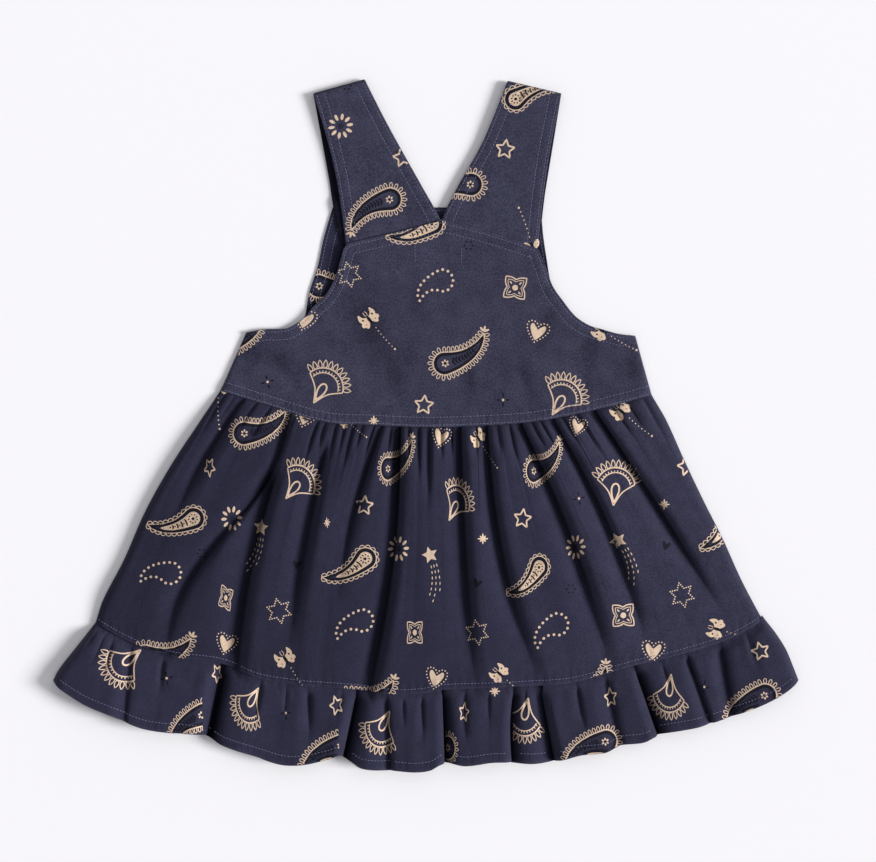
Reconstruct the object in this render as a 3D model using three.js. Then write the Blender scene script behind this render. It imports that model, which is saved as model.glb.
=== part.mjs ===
// A toddler's pinafore dress in cotton twill, laid flat on its front with the back on top.
// Millimetres. X runs to the right, Y towards the straps, Z up from the surface it lies on.
import * as THREE from 'three';

// Cloth: each panel is one wall, and the stack rises by one wall and one gap a layer
const WALL = 1.2;
const GAP = 0.3;
const LAYER = WALL + GAP;
const level = (layer) => WALL / 2 + layer * LAYER;

// How far the skirt and the ruffle run on under the edge that is sewn over them
const SEAM_TUCK = 3;

// Fullness of the gathered panels above the layer they rest on, and how soon it is reached
const SKIRT_LOFT = 3.6;
const RUFFLE_LOFT_AT_SEAM = 2.2;
const RUFFLE_LOFT_AT_HEM = 5.2;
const SIDE_ROUNDING = 12;
const SEAM_ROUNDING = 16;
const SEAM_STEP = 2.2;

// Colour of the cloth
const NAVY = '#3a3a4e';

// Smooth curve through rows of [x, y], for x between the first and the last
function through(rows) {
  const slopes = rows.map((row, i) => {
    const before = rows[Math.max(i - 1, 0)];
    const after = rows[Math.min(i + 1, rows.length - 1)];
    return (after[1] - before[1]) / (after[0] - before[0]);
  });
  return (x) => {
    let i = 0;
    while (i < rows.length - 2 && x > rows[i + 1][0]) i += 1;
    const [x0, y0] = rows[i];
    const [x1, y1] = rows[i + 1];
    const span = x1 - x0;
    const t = THREE.MathUtils.clamp((x - x0) / span, 0, 1);
    const t2 = t * t;
    const t3 = t2 * t;
    return (2 * t3 - 3 * t2 + 1) * y0 + (t3 - 2 * t2 + t) * span * slopes[i]
      + (3 * t2 - 2 * t3) * y1 + (t3 - t2) * span * slopes[i + 1];
  };
}

const swapped = (rows) => rows.map(([x, y]) => [y, x]);

// Eases from 0 to 1: round like the edge of a fold, or level at both ends
const rounded = (distance, reach) => {
  const t = THREE.MathUtils.clamp(distance / reach, 0, 1);
  return Math.sqrt(1 - (1 - t) * (1 - t));
};
const eased = (distance, reach) => THREE.MathUtils.smoothstep(distance / reach, 0, 1);

// Outlines, as [x, y]

const waist = through([
  [-143.5, 24], [-112, 14.4], [-71, 2.2], [-35, 0], [-4, -1.4], [28, -0.8], [71, 1.8], [103, 7.2],
  [135, 14.7], [158, 21],
]);

const underarm = { left: [-125.5, 64.6], right: [146.4, 62.4] };
const strapCorner = { left: [-57.3, 123], right: [78.4, 123] };

const leftArmhole = [
  underarm.left, [-112, 67], [-98.5, 67.4], [-90.5, 71], [-84, 76], [-79, 82.4], [-70, 91], [-63, 104],
  strapCorner.left,
];
const arch = [
  strapCorner.left, [-53.8, 126.8], [-45, 129], [-26.6, 133.2], [4.8, 141.2], [10.6, 143.5], [16, 141.6],
  [32.7, 137.6], [55.4, 131], strapCorner.right,
];
const rightArmhole = [
  strapCorner.right, [83.5, 111], [88.6, 97.4], [96, 86.6], [104.4, 76.2], [114, 69.8], [123, 67],
  [135, 63.6], underarm.right,
];

const bibTop = 152.2;
const bibLeftArmhole = [
  underarm.left, [-112, 66], [-98, 66], [-89, 71], [-82.4, 80], [-82.6, 86], [-81, 94.5], [-75.5, 111.3],
  [-71.5, 130.2], [-65.2, bibTop],
];
const bibRightArmhole = [
  [80.6, bibTop], [82, 134], [84.6, 116], [88, 98], [95.5, 86], [104, 75.6], [114, 69.2], [123, 66.4],
  [135, 63], underarm.right,
];

const skirtLeft = through(swapped([
  [-230.8, -138], [-225.6, -122.2], [-211.2, -94.5], [-196, -60], [-178.2, -28.2], [-158.2, 2.1],
  [-143.7, 24], [-142, 29],
]));
const skirtRight = through(swapped([
  [236.2, -138], [220.6, -108.5], [208, -80.5], [194, -52.5], [180.7, -24.5], [168.1, 3.5], [158, 21],
  [156, 26],
]));
const skirtHem = through([
  [-231, -138], [-206.5, -151.5], [-176.5, -161.5], [-143.6, -166.2], [-115.6, -176.8], [-90.2, -181],
  [-54.6, -184], [-20.6, -187.8], [-2, -187], [9.9, -184.6], [43.8, -183.2], [86.9, -181],
  [105.1, -178.9], [143.4, -168], [166.3, -162.8], [186.6, -157.5], [210.4, -149.7], [226, -142],
  [236.4, -135],
]);

const ruffleLeft = through(swapped([
  [-260.6, -178.4], [-256.5, -170.8], [-244.6, -155.6], [-230.8, -138], [-228, -134],
]));
const ruffleRight = through(swapped([
  [260.6, -178.4], [256.1, -166.8], [251.8, -156.8], [244.7, -145.6], [236.4, -135], [233.8, -131],
]));
const ruffleHem = through([
  [-260.6, -178.4], [-254.8, -183.5], [-237, -194.6], [-219.2, -202], [-198, -211], [-179.3, -214.2],
  [-168, -214.8], [-152.2, -217.4], [-142, -223], [-119.9, -230.2], [-98.7, -236.4], [-84, -236.4],
  [-67, -232.4], [-60.6, -230.6], [-52, -234.6], [-44.4, -238.8], [-20.6, -240.8], [-7.1, -241.6],
  [3.2, -240.4], [12.5, -235.6], [27.7, -237.4], [48, -234.9], [77, -235.3], [91.6, -234],
  [108.6, -229.8], [125.4, -228], [136.6, -223], [151.8, -220.9], [162.8, -215.8], [190, -210.3],
  [216.8, -201.8], [235.3, -194.6], [249.6, -186.8], [260.6, -178.4],
]);

// Gathers of the skirt: where each leaves the waist and would reach the hem, how far it bows
// sideways, the stretch it runs over as shares of the skirt, its depth and its half width
const skirtGathers = [
  { waist: -138, hem: -222.5, bow: -6, from: 0, to: 0.2, depth: 1.6, width: 3 },
  { waist: -131.5, hem: -216, bow: -7, from: 0, to: 0.16, depth: 1.4, width: 3 },
  { waist: -124.5, hem: -206, bow: -9, from: 0, to: 0.5, depth: 2.4, width: 4 },
  { waist: -115.4, hem: -197.5, bow: -9, from: 0, to: 0.14, depth: 1.6, width: 3 },
  { waist: -105.6, hem: -189, bow: -8, from: 0, to: 0.16, depth: 1.5, width: 3 },
  { waist: -93.7, hem: -180.5, bow: -8, from: 0, to: 0.86, depth: 2.8, width: 5 },
  { waist: -88.6, hem: -131.5, bow: -6, from: 0.16, to: 1, depth: 3.4, width: 6 },
  { waist: -73.4, hem: -114.7, bow: -6, from: 0, to: 0.14, depth: 1.8, width: 2.6 },
  { waist: -68.5, hem: -105.6, bow: -4, from: 0, to: 0.12, depth: 1.7, width: 2.4 },
  { waist: -64.3, hem: -97.2, bow: -3, from: 0.26, to: 0.84, depth: 2.4, width: 6 },
  { waist: -60.8, hem: -86, bow: -2, from: 0, to: 0.15, depth: 1.8, width: 2.6 },
  { waist: -54.5, hem: -75.5, bow: -2, from: 0, to: 0.12, depth: 1.6, width: 2.6 },
  { waist: -48.2, hem: -67, bow: -2, from: 0, to: 0.16, depth: 2, width: 3 },
  { waist: -42.2, hem: -61.5, bow: -3, from: 0, to: 0.12, depth: 1.8, width: 2.6 },
  { waist: -34.4, hem: -56.6, bow: -4, from: 0, to: 0.12, depth: 1.8, width: 2.6 },
  { waist: -28.6, hem: -51.7, bow: -4, from: 0, to: 0.28, depth: 2.6, width: 3.4 },
  { waist: -23, hem: -45.4, bow: -1, from: 0, to: 0.12, depth: 1.7, width: 2.4 },
  { waist: -17.4, hem: -38.4, bow: 6, from: 0, to: 1, depth: 3.6, width: 4.6 },
  { waist: -11.1, hem: -25.1, bow: 5, from: 0, to: 0.12, depth: 1.7, width: 2.6 },
  { waist: -4.1, hem: -13.2, bow: 3, from: 0, to: 0.2, depth: 1.8, width: 3 },
  { waist: 3.6, hem: -2, bow: 1, from: 0, to: 0.28, depth: 2.2, width: 3.4 },
  { waist: 12, hem: 9.9, bow: 0, from: 0, to: 0.14, depth: 1.7, width: 3 },
  { waist: 18.5, hem: 21.1, bow: 0, from: 0, to: 0.12, depth: 1.8, width: 2.4 },
  { waist: 24.4, hem: 35.8, bow: -2, from: 0.28, to: 0.8, depth: 2.2, width: 6 },
  { waist: 35.8, hem: 48.4, bow: 0, from: 0, to: 0.14, depth: 1.8, width: 2.6 },
  { waist: 42.8, hem: 59.6, bow: 0, from: 0, to: 0.42, depth: 2.4, width: 4 },
  { waist: 50.5, hem: 76.4, bow: 1, from: 0, to: 0.12, depth: 1.6, width: 3 },
  { waist: 58.2, hem: 97.4, bow: 3, from: 0, to: 0.16, depth: 2, width: 3 },
  { waist: 65.2, hem: 130.3, bow: 6, from: 0, to: 1, depth: 3.4, width: 6 },
  { waist: 73.2, hem: 140.8, bow: 7, from: 0, to: 0.12, depth: 1.8, width: 2.6 },
  { waist: 79, hem: 148.5, bow: 8, from: 0, to: 0.12, depth: 1.8, width: 2.6 },
  { waist: 87.6, hem: 157, bow: 9, from: 0, to: 0.86, depth: 3, width: 5 },
  { waist: 94.4, hem: 168.1, bow: 8, from: 0, to: 0.12, depth: 1.6, width: 2.6 },
  { waist: 104.4, hem: 188.4, bow: 5, from: 0, to: 0.2, depth: 1.5, width: 3.4 },
  { waist: 116.3, hem: 217, bow: 2, from: 0, to: 0.86, depth: 3.6, width: 6 },
  { waist: 128.9, hem: 223.6, bow: 3, from: 0, to: 0.14, depth: 1.5, width: 3 },
  { waist: 139.4, hem: 228.6, bow: 2, from: 0, to: 0.14, depth: 1.4, width: 3 },
  { waist: 149.9, hem: 232.8, bow: 1, from: 0, to: 0.2, depth: 1.4, width: 3 },
];

// Waves of the ruffle, with the same columns from its seam to its hem
const ruffleGathers = [
  { waist: -226, hem: -254, bow: 0, from: 0, to: 0.5, depth: 1.4, width: 3 },
  { waist: -221, hem: -243.5, bow: 0, from: 0, to: 0.6, depth: 1.6, width: 3.4 },
  { waist: -215.6, hem: -230.2, bow: 0, from: 0, to: 0.7, depth: 1.8, width: 4 },
  { waist: -203.6, hem: -208.5, bow: 0, from: 0, to: 1, depth: 2, width: 5 },
  { waist: -182.6, hem: -187.5, bow: 0, from: 0, to: 0.6, depth: 1.6, width: 4 },
  { waist: -142, hem: -156, bow: 0, from: 0, to: 1, depth: 5, width: 8 },
  { waist: -113.3, hem: -121.7, bow: 0, from: 0, to: 0.7, depth: 2, width: 4 },
  { waist: -97.2, hem: -100, bow: 0, from: 0, to: 0.5, depth: 1.6, width: 3.4 },
  { waist: -82.5, hem: -81, bow: 0, from: 0, to: 0.6, depth: 1.8, width: 4 },
  { waist: -57, hem: -71, bow: 0, from: 0, to: 0.5, depth: 1.6, width: 3 },
  { waist: -48.2, hem: -59.6, bow: 0, from: 0, to: 1, depth: 5, width: 5 },
  { waist: -26.5, hem: -24.4, bow: 0, from: 0, to: 1, depth: 3.4, width: 6 },
  { waist: -15.3, hem: -12.5, bow: 0, from: 0, to: 0.5, depth: 1.6, width: 3 },
  { waist: -2, hem: 0.1, bow: 0, from: 0, to: 0.6, depth: 1.8, width: 3.4 },
  { waist: 10.6, hem: 12.5, bow: 0, from: 0, to: 1, depth: 5, width: 4.6 },
  { waist: 28.1, hem: 29.5, bow: 0, from: 0, to: 0.7, depth: 2, width: 4 },
  { waist: 44.9, hem: 44.9, bow: 0, from: 0, to: 0.6, depth: 1.6, width: 4 },
  { waist: 61.6, hem: 59.4, bow: -2, from: 0, to: 1, depth: 5, width: 4.6 },
  { waist: 70.6, hem: 72, bow: -1, from: 0, to: 0.5, depth: 1.6, width: 3 },
  { waist: 80.6, hem: 92.5, bow: 0, from: 0, to: 1, depth: 5, width: 6 },
  { waist: 105.1, hem: 115, bow: 0, from: 0, to: 0.7, depth: 2.2, width: 4 },
  { waist: 125.4, hem: 137.3, bow: 0, from: 0, to: 1, depth: 2.4, width: 6 },
  { waist: 143.4, hem: 161.1, bow: 0, from: 0, to: 1, depth: 4.4, width: 6 },
  { waist: 163.9, hem: 179.3, bow: 0, from: 0, to: 0.6, depth: 1.8, width: 4 },
  { waist: 181.4, hem: 199.6, bow: 0, from: 0, to: 1, depth: 3.6, width: 4 },
  { waist: 206, hem: 215, bow: 0, from: 0, to: 1, depth: 3.6, width: 8 },
  { waist: 222, hem: 238, bow: 0, from: 0, to: 0.6, depth: 1.6, width: 4 },
];

// A closed wall about a grid of points on its middle surface, rows by columns
function clothGeometry(grid) {
  const rows = grid.length;
  const columns = grid[0].length;
  const faces = [];
  const points = [];
  for (const side of [1, -1]) {
    for (let r = 0; r < rows; r += 1) {
      for (let c = 0; c < columns; c += 1) {
        const across = grid[r][Math.min(c + 1, columns - 1)].clone().sub(grid[r][Math.max(c - 1, 0)]);
        const down = grid[Math.min(r + 1, rows - 1)][c].clone().sub(grid[Math.max(r - 1, 0)][c]);
        const normal = down.cross(across).normalize();
        points.push(grid[r][c].clone().addScaledVector(normal, side * WALL / 2));
      }
    }
  }
  const upper = (r, c) => r * columns + c;
  const lower = (r, c) => rows * columns + upper(r, c);
  const quad = (a, b, c, d) => faces.push(a, b, c, a, c, d);
  for (let r = 0; r < rows - 1; r += 1) {
    for (let c = 0; c < columns - 1; c += 1) {
      quad(upper(r, c), upper(r + 1, c), upper(r + 1, c + 1), upper(r, c + 1));
      quad(lower(r, c), lower(r, c + 1), lower(r + 1, c + 1), lower(r + 1, c));
    }
    quad(upper(r, 0), lower(r, 0), lower(r + 1, 0), upper(r + 1, 0));
    quad(upper(r, columns - 1), upper(r + 1, columns - 1), lower(r + 1, columns - 1), lower(r, columns - 1));
  }
  for (let c = 0; c < columns - 1; c += 1) {
    quad(upper(0, c), upper(0, c + 1), lower(0, c + 1), lower(0, c));
    quad(upper(rows - 1, c), lower(rows - 1, c), lower(rows - 1, c + 1), upper(rows - 1, c + 1));
  }
  const geometry = new THREE.BufferGeometry().setFromPoints(points);
  geometry.setIndex(faces);
  geometry.computeVertexNormals();
  return geometry;
}

function clothMesh(name, grid) {
  const material = new THREE.MeshStandardMaterial({ color: NAVY, roughness: 0.92, metalness: 0 });
  const mesh = new THREE.Mesh(clothGeometry(grid), material);
  mesh.name = name;
  return mesh;
}

// Grid between lines that run down a panel: every line gives its point at each mark of its length
function panelGrid(lines, marks, height) {
  const rowCount = marks(1).length;
  return Array.from({ length: rowCount }, (_, row) => lines.map((line) => {
    const length = line.top.y - line.bottom.y;
    const share = marks(length)[row] / length;
    const { x, y } = line.at(share);
    return new THREE.Vector3(x, y, height(x, y));
  }));
}

// A line down a gathered panel
function gatherLine({ top, bottom, bow = 0, edge = null }) {
  const at = (share) => {
    const y = THREE.MathUtils.lerp(top.y, bottom.y, share);
    const straight = THREE.MathUtils.lerp(top.x, bottom.x, share) + bow * Math.sin(Math.PI * share);
    return { x: edge ? edge(y) : straight, y };
  };
  return { top, bottom, at };
}

// Lines at the given shares of the way from each line to the next
function linesBetween(lines, shares) {
  const result = [];
  for (let i = 0; i < lines.length - 1; i += 1) {
    for (const share of shares) {
      const mix = (a, b) => ({
        x: THREE.MathUtils.lerp(a.x, b.x, share),
        y: THREE.MathUtils.lerp(a.y, b.y, share),
      });
      const [left, right] = [lines[i], lines[i + 1]];
      result.push({
        top: mix(left.top, right.top),
        bottom: mix(left.bottom, right.bottom),
        at: (v) => mix(left.at(v), right.at(v)),
      });
    }
  }
  result.push(lines[lines.length - 1]);
  return result;
}

// How deep the gathers are at a point: full along each gather's line, less to both sides
function gatherDepth(gathers, lines, x, y) {
  let depth = 0;
  gathers.forEach((gather, i) => {
    const { top, bottom, at } = lines[i];
    const share = THREE.MathUtils.clamp((top.y - y) / (top.y - bottom.y), 0, 1);
    const start = gather.from === 0 ? 1 : eased(share - gather.from, 0.1);
    const end = gather.to === 1 ? 1 : eased(gather.to - share, Math.min(0.2, gather.to * 0.6));
    const reach = Math.abs(x - at(share).x) / gather.width;
    depth += gather.depth * start * end * Math.exp(-reach * Math.sqrt(reach));
  });
  return depth;
}

// The skirt's back, gathered into the waist and lofted between its sides
const skirtTuckTop = (x) => waist(x) + SEAM_TUCK;
const skirtFolds = skirtGathers.map((gather) => gatherLine({
  top: { x: gather.waist, y: skirtTuckTop(gather.waist) },
  bottom: { x: gather.hem, y: skirtHem(gather.hem) },
  bow: gather.bow,
}));
const skirtLines = [
  gatherLine({
    top: { x: -143, y: skirtTuckTop(-143) }, bottom: { x: -230.8, y: skirtHem(-230.8) }, edge: skirtLeft,
  }),
  ...skirtFolds,
  gatherLine({
    top: { x: 157, y: skirtTuckTop(157) }, bottom: { x: 236.2, y: skirtHem(236.2) }, edge: skirtRight,
  }),
];

function skirtHeight(x, y) {
  const belowWaist = waist(x) - y;
  const aboveHem = y - skirtHem(x);
  const inside = Math.min(x - skirtLeft(y), skirtRight(y) - x);
  const lowest = level(1) + LAYER * (1 - eased(aboveHem - 5, 12));
  const loft = SKIRT_LOFT * rounded(inside, SIDE_ROUNDING) * rounded(belowWaist - SEAM_STEP, SEAM_ROUNDING)
    * (0.35 + 0.65 * eased(aboveHem - 3, 30));
  const depth = gatherDepth(skirtGathers, skirtFolds, x, y) * eased(belowWaist - 0.5, 5);
  return Math.max(lowest, level(1) + Math.max(loft, lowest - level(1) + 0.25 * loft) - depth);
}

const skirtMarks = (length) => [
  0, SEAM_TUCK + 0.4, SEAM_TUCK + 6, 0.11 * length, 0.2 * length, 0.33 * length, 0.5 * length,
  0.66 * length, 0.82 * length, length - 5, length,
];

// The ruffle's back, gathered under the skirt's lower edge and waving at its hem
const ruffleTuckTop = (x) => skirtHem(x) + SEAM_TUCK;
const ruffleFolds = ruffleGathers.map((gather) => gatherLine({
  top: { x: gather.waist, y: ruffleTuckTop(gather.waist) },
  bottom: { x: gather.hem, y: ruffleHem(gather.hem) },
  bow: gather.bow,
}));
const ruffleLines = [
  gatherLine({
    top: { x: -229.4, y: ruffleTuckTop(-229.4) }, bottom: { x: -260.6, y: ruffleHem(-260.6) },
    edge: ruffleLeft,
  }),
  ...ruffleFolds,
  gatherLine({
    top: { x: 234.6, y: ruffleTuckTop(234.6) }, bottom: { x: 260.6, y: ruffleHem(260.6) },
    edge: ruffleRight,
  }),
];

function ruffleHeight(x, y) {
  const belowSeam = skirtHem(x) - y;
  const aboveHem = y - ruffleHem(x);
  const inside = Math.min(x - ruffleLeft(y), ruffleRight(y) - x);
  const share = THREE.MathUtils.clamp(belowSeam / (belowSeam + aboveHem), 0, 1);
  const full = THREE.MathUtils.lerp(RUFFLE_LOFT_AT_SEAM, RUFFLE_LOFT_AT_HEM, share);
  const loft = full * rounded(inside, SIDE_ROUNDING) * rounded(belowSeam - SEAM_STEP, SEAM_ROUNDING);
  const depth = gatherDepth(ruffleGathers, ruffleFolds, x, y) * eased(belowSeam - 0.5, 6);
  return Math.max(level(1), level(1) + loft - depth);
}

const ruffleMarks = (length) => [
  0, SEAM_TUCK + 0.4, SEAM_TUCK + 5, 0.3 * length, 0.5 * length, 0.75 * length, length,
];

// The back bodice, raised along the arch by the straps and at the waist by the skirt
const onStretch = (points) => new THREE.SplineCurve(points.map(([x, y]) => new THREE.Vector2(x, y)));
const sampled = (points, count) => onStretch(points).getSpacedPoints(count);

const bodiceTop = [
  ...sampled(leftArmhole, 11), ...sampled(arch, 14).slice(1), ...sampled(rightArmhole, 11).slice(1),
];
const waistUnder = (x) => THREE.MathUtils.mapLinear(x, underarm.left[0], underarm.right[0], -143.4, 157.8);
const bodiceLines = bodiceTop.map(({ x, y }) => gatherLine({
  top: { x, y }, bottom: { x: waistUnder(x), y: waist(waistUnder(x)) },
}));

const archHeight = through(arch);
const BODICE_FULLNESS = 0.7;

function bodiceHeight(x, y) {
  const belowArch = archHeight(x) - y;
  const besideStraps = Math.max(strapCorner.left[0] - x, x - strapCorner.right[0], 0);
  const onStraps = (1 - eased(belowArch - 12, 26)) * (1 - eased(besideStraps, 14));
  const onSkirt = 1 - eased(y - waist(x) - 5, 10);
  const rest = Math.max(BODICE_FULLNESS / LAYER, 2 * onStraps, onSkirt);
  return level(1 + rest);
}

const bodiceMarks = (length) => [0, 5, 10, 20, 34, 52, 75, 98, 112, 122, 130].map((m) => m * length / 130);

// The front bodice, skirt and ruffle lie flat on the surface
const flat = () => level(0);
const bibTopEdge = [
  ...sampled(bibLeftArmhole, 9), ...sampled([bibLeftArmhole[9], bibRightArmhole[0]], 8).slice(1),
  ...sampled(bibRightArmhole, 9).slice(1),
];
const bibLines = bibTopEdge.map(({ x, y }) => gatherLine({
  top: { x, y }, bottom: { x: waistUnder(x), y: waist(waistUnder(x)) },
}));
const bibMarks = (length) => [0, 0.35 * length, 0.7 * length, length];

const FRONT_COLUMNS = 36;
// How far the front hem shows below the back hem, or stays above it, as [x, drop]
const frontHemDrop = through([
  [-260, -1], [-160, -1], [-138, -1.4], [-112, 2], [-86, 1], [-70, -1.4], [-56, 0.8], [-42, 2],
  [-25, 1], [-8, -1.4], [40, -1.4], [59, 1], [74, 2], [88, 0.6], [100, -1.4], [260, -1],
]);
const spread = (from, to) => Array.from(
  { length: FRONT_COLUMNS + 1 }, (_, i) => THREE.MathUtils.lerp(from, to, i / FRONT_COLUMNS),
);
const frontSkirtTop = spread(-142.6, 157);
const frontSkirtBottom = spread(-230, 235.4);
const frontSkirtLines = frontSkirtTop.map((x, i) => gatherLine({
  top: { x, y: waist(x) - GAP },
  bottom: { x: frontSkirtBottom[i], y: skirtHem(frontSkirtBottom[i]) },
  edge: i === 0 ? (y) => skirtLeft(y) + 0.4 : i === FRONT_COLUMNS ? (y) => skirtRight(y) - 0.4 : null,
}));
const frontRuffleTop = spread(-230, 235.4);
const frontRuffleBottom = spread(-260.2, 260.2);
const frontRuffleLines = frontRuffleTop.map((x, i) => gatherLine({
  top: { x, y: skirtHem(x) - GAP },
  bottom: {
    x: frontRuffleBottom[i],
    y: ruffleHem(frontRuffleBottom[i]) - frontHemDrop(frontRuffleBottom[i]),
  },
  edge: i === 0 ? (y) => ruffleLeft(y) + 0.4 : i === FRONT_COLUMNS ? (y) => ruffleRight(y) - 0.4 : null,
}));
const frontMarks = (length) => [0, 0.33 * length, 0.67 * length, length];

// Straps: a band from under the arch up to the shoulder, over it, and down on to the bib.
// Rows go from the arch to the shoulder fold, and from the fold to the bib
const strapLeft = {
  back: [
    { left: [-54.8, 116.4], right: [9.6, 135.6] },
    { left: [-55.8, 124.6], right: [9.6, 144.4] },
    { left: [-58.4, 146], right: [-2, 165.6] },
    { left: [-63.2, 175.7], right: [-14.6, 188] },
    { left: [-70, 203], right: [-29, 214.3] },
    { left: [-78.7, 231.8], right: [-42.8, 241.7] },
  ],
  front: [
    { left: [-78.7, 231.8], right: [-42.8, 241.7] },
    { left: [-73.8, 205.2], right: [-37.4, 208] },
    { left: [-67.8, 172.6], right: [-31, 173] },
    { left: [-64.9, 154], right: [-27.6, 154] },
    { left: [-58.8, 126], right: [-22.4, 126] },
  ],
};
const strapRight = {
  back: [
    { left: [11.6, 135.6], right: [76.4, 116.4] },
    { left: [11.6, 144.4], right: [78.2, 124.4] },
    { left: [22.6, 167], right: [81.4, 154] },
    { left: [37.1, 192.4], right: [84.6, 178] },
    { left: [45.4, 210.6], right: [88.9, 203] },
    { left: [57.3, 240.6], right: [94.8, 231.8] },
  ],
  front: [
    { left: [57.3, 240.6], right: [94.8, 231.8] },
    { left: [53.4, 206], right: [90, 202] },
    { left: [48.6, 172], right: [84.9, 171] },
    { left: [45.6, 154], right: [82.4, 154] },
    { left: [42, 126], right: [79, 124] },
  ],
};
const STRAP_COLUMNS = 6;
const BACK_STATIONS = 9;
const FRONT_STATIONS = 10;
const FOLD_STEPS = 5;
const SHOULDER_HEIGHT = level(2.4);

// Section of a band between its two edges, at a share of the way through its rows
function bandSection(rows, share) {
  const edge = (side) => onStretch(rows.map((row) => row[side])).getPoint(share);
  return { left: edge('left'), right: edge('right') };
}

function strapGrid({ back, front }) {
  const sections = [];
  for (let i = 0; i < BACK_STATIONS; i += 1) {
    const share = i / BACK_STATIONS;
    const onBodice = level(2);
    sections.push({
      ...bandSection(back, share),
      z: THREE.MathUtils.lerp(onBodice, SHOULDER_HEIGHT, eased(share - 0.6, 0.4)),
    });
  }
  const fold = bandSection(back, 1);
  const radius = (SHOULDER_HEIGHT - level(0)) / 2;
  const along = fold.right.clone().sub(fold.left).normalize();
  const outward = new THREE.Vector2(-along.y, along.x);
  for (let i = 0; i <= FOLD_STEPS; i += 1) {
    const angle = Math.PI * i / FOLD_STEPS;
    const out = radius * (Math.sin(angle) - 1) - WALL / 2;
    sections.push({
      left: fold.left.clone().addScaledVector(outward, out),
      right: fold.right.clone().addScaledVector(outward, out),
      z: level(0) + radius * (1 + Math.cos(angle)),
    });
  }
  for (let i = 1; i <= FRONT_STATIONS; i += 1) {
    const section = bandSection(front, i / FRONT_STATIONS);
    const onBib = eased(bibTop + 10 - section.left.y, 8);
    sections.push({ ...section, z: level(onBib) });
  }
  return sections.map(({ left, right, z }) => Array.from({ length: STRAP_COLUMNS + 1 }, (_, i) => {
    const point = left.clone().lerp(right, i / STRAP_COLUMNS);
    return new THREE.Vector3(point.x, point.y, z);
  }));
}

const dress = new THREE.Group();
const thirds = [0, 0.3, 0.7];
dress.add(
  clothMesh('front_bodice', panelGrid(bibLines, bibMarks, flat)),
  clothMesh('skirt_front', panelGrid(frontSkirtLines, frontMarks, flat)),
  clothMesh('ruffle_front', panelGrid(frontRuffleLines, frontMarks, flat)),
  clothMesh('skirt_back', panelGrid(linesBetween(skirtLines, thirds), skirtMarks, skirtHeight)),
  clothMesh('ruffle_back', panelGrid(linesBetween(ruffleLines, thirds), ruffleMarks, ruffleHeight)),
  clothMesh('back_bodice', panelGrid(bodiceLines, bodiceMarks, bodiceHeight)),
  clothMesh('strap_left', strapGrid(strapLeft).reverse()),
  clothMesh('strap_right', strapGrid(strapRight).reverse()),
);

export default dress;
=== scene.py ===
"""Looks of a toddler's pinafore dress in printed cotton twill, laid flat with its back on top.

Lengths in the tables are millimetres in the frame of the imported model: X to the right, Y towards
the straps, Z up from the surface that the dress lies on.
"""

import logging
import math
from dataclasses import dataclass, field
from enum import Enum, auto
from typing import Callable

import bpy
import numpy as np
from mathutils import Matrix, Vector
from mathutils.bvhtree import BVHTree

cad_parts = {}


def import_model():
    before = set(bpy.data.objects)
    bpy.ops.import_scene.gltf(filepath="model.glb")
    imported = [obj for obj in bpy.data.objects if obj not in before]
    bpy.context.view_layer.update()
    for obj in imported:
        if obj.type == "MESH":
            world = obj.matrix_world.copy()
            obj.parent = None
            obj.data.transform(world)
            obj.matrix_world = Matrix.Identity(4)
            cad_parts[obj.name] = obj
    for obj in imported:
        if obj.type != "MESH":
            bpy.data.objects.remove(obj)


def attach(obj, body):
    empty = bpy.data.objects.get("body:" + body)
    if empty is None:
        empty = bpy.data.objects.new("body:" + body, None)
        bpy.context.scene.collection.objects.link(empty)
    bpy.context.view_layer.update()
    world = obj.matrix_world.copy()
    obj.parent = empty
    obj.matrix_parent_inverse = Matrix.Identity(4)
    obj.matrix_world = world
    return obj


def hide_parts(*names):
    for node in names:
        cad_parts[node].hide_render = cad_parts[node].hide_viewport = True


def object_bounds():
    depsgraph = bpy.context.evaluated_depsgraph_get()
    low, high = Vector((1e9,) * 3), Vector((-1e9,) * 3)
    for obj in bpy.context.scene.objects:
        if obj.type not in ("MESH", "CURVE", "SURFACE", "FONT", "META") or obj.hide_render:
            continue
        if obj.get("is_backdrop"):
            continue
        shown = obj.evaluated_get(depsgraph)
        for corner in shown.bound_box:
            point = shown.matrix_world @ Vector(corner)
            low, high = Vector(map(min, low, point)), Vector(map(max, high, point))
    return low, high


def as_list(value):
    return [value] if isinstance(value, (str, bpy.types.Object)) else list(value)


LOG = logging.getLogger("pinafore")
Pair = tuple[float, float]
Triple = tuple[float, float, float]
Rows = tuple[Pair, ...]
Field = np.ndarray
Socket = bpy.types.NodeSocket
Piece = bpy.types.Object
Material = bpy.types.Material
norm = np.linalg.norm

MM = 0.001

# The stack of cloth: one wall and one gap a layer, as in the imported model
WALL = 1.2
LAYER = 1.5
SEAM_TUCK = 3.0
# Distances of the two stitch rows from a bound edge
EDGE_ROWS = (2.1, 7.7)


def level(layer: float) -> float:
    """Height of the middle of a wall at a layer of the stack."""
    return WALL / 2 + layer * LAYER


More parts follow.
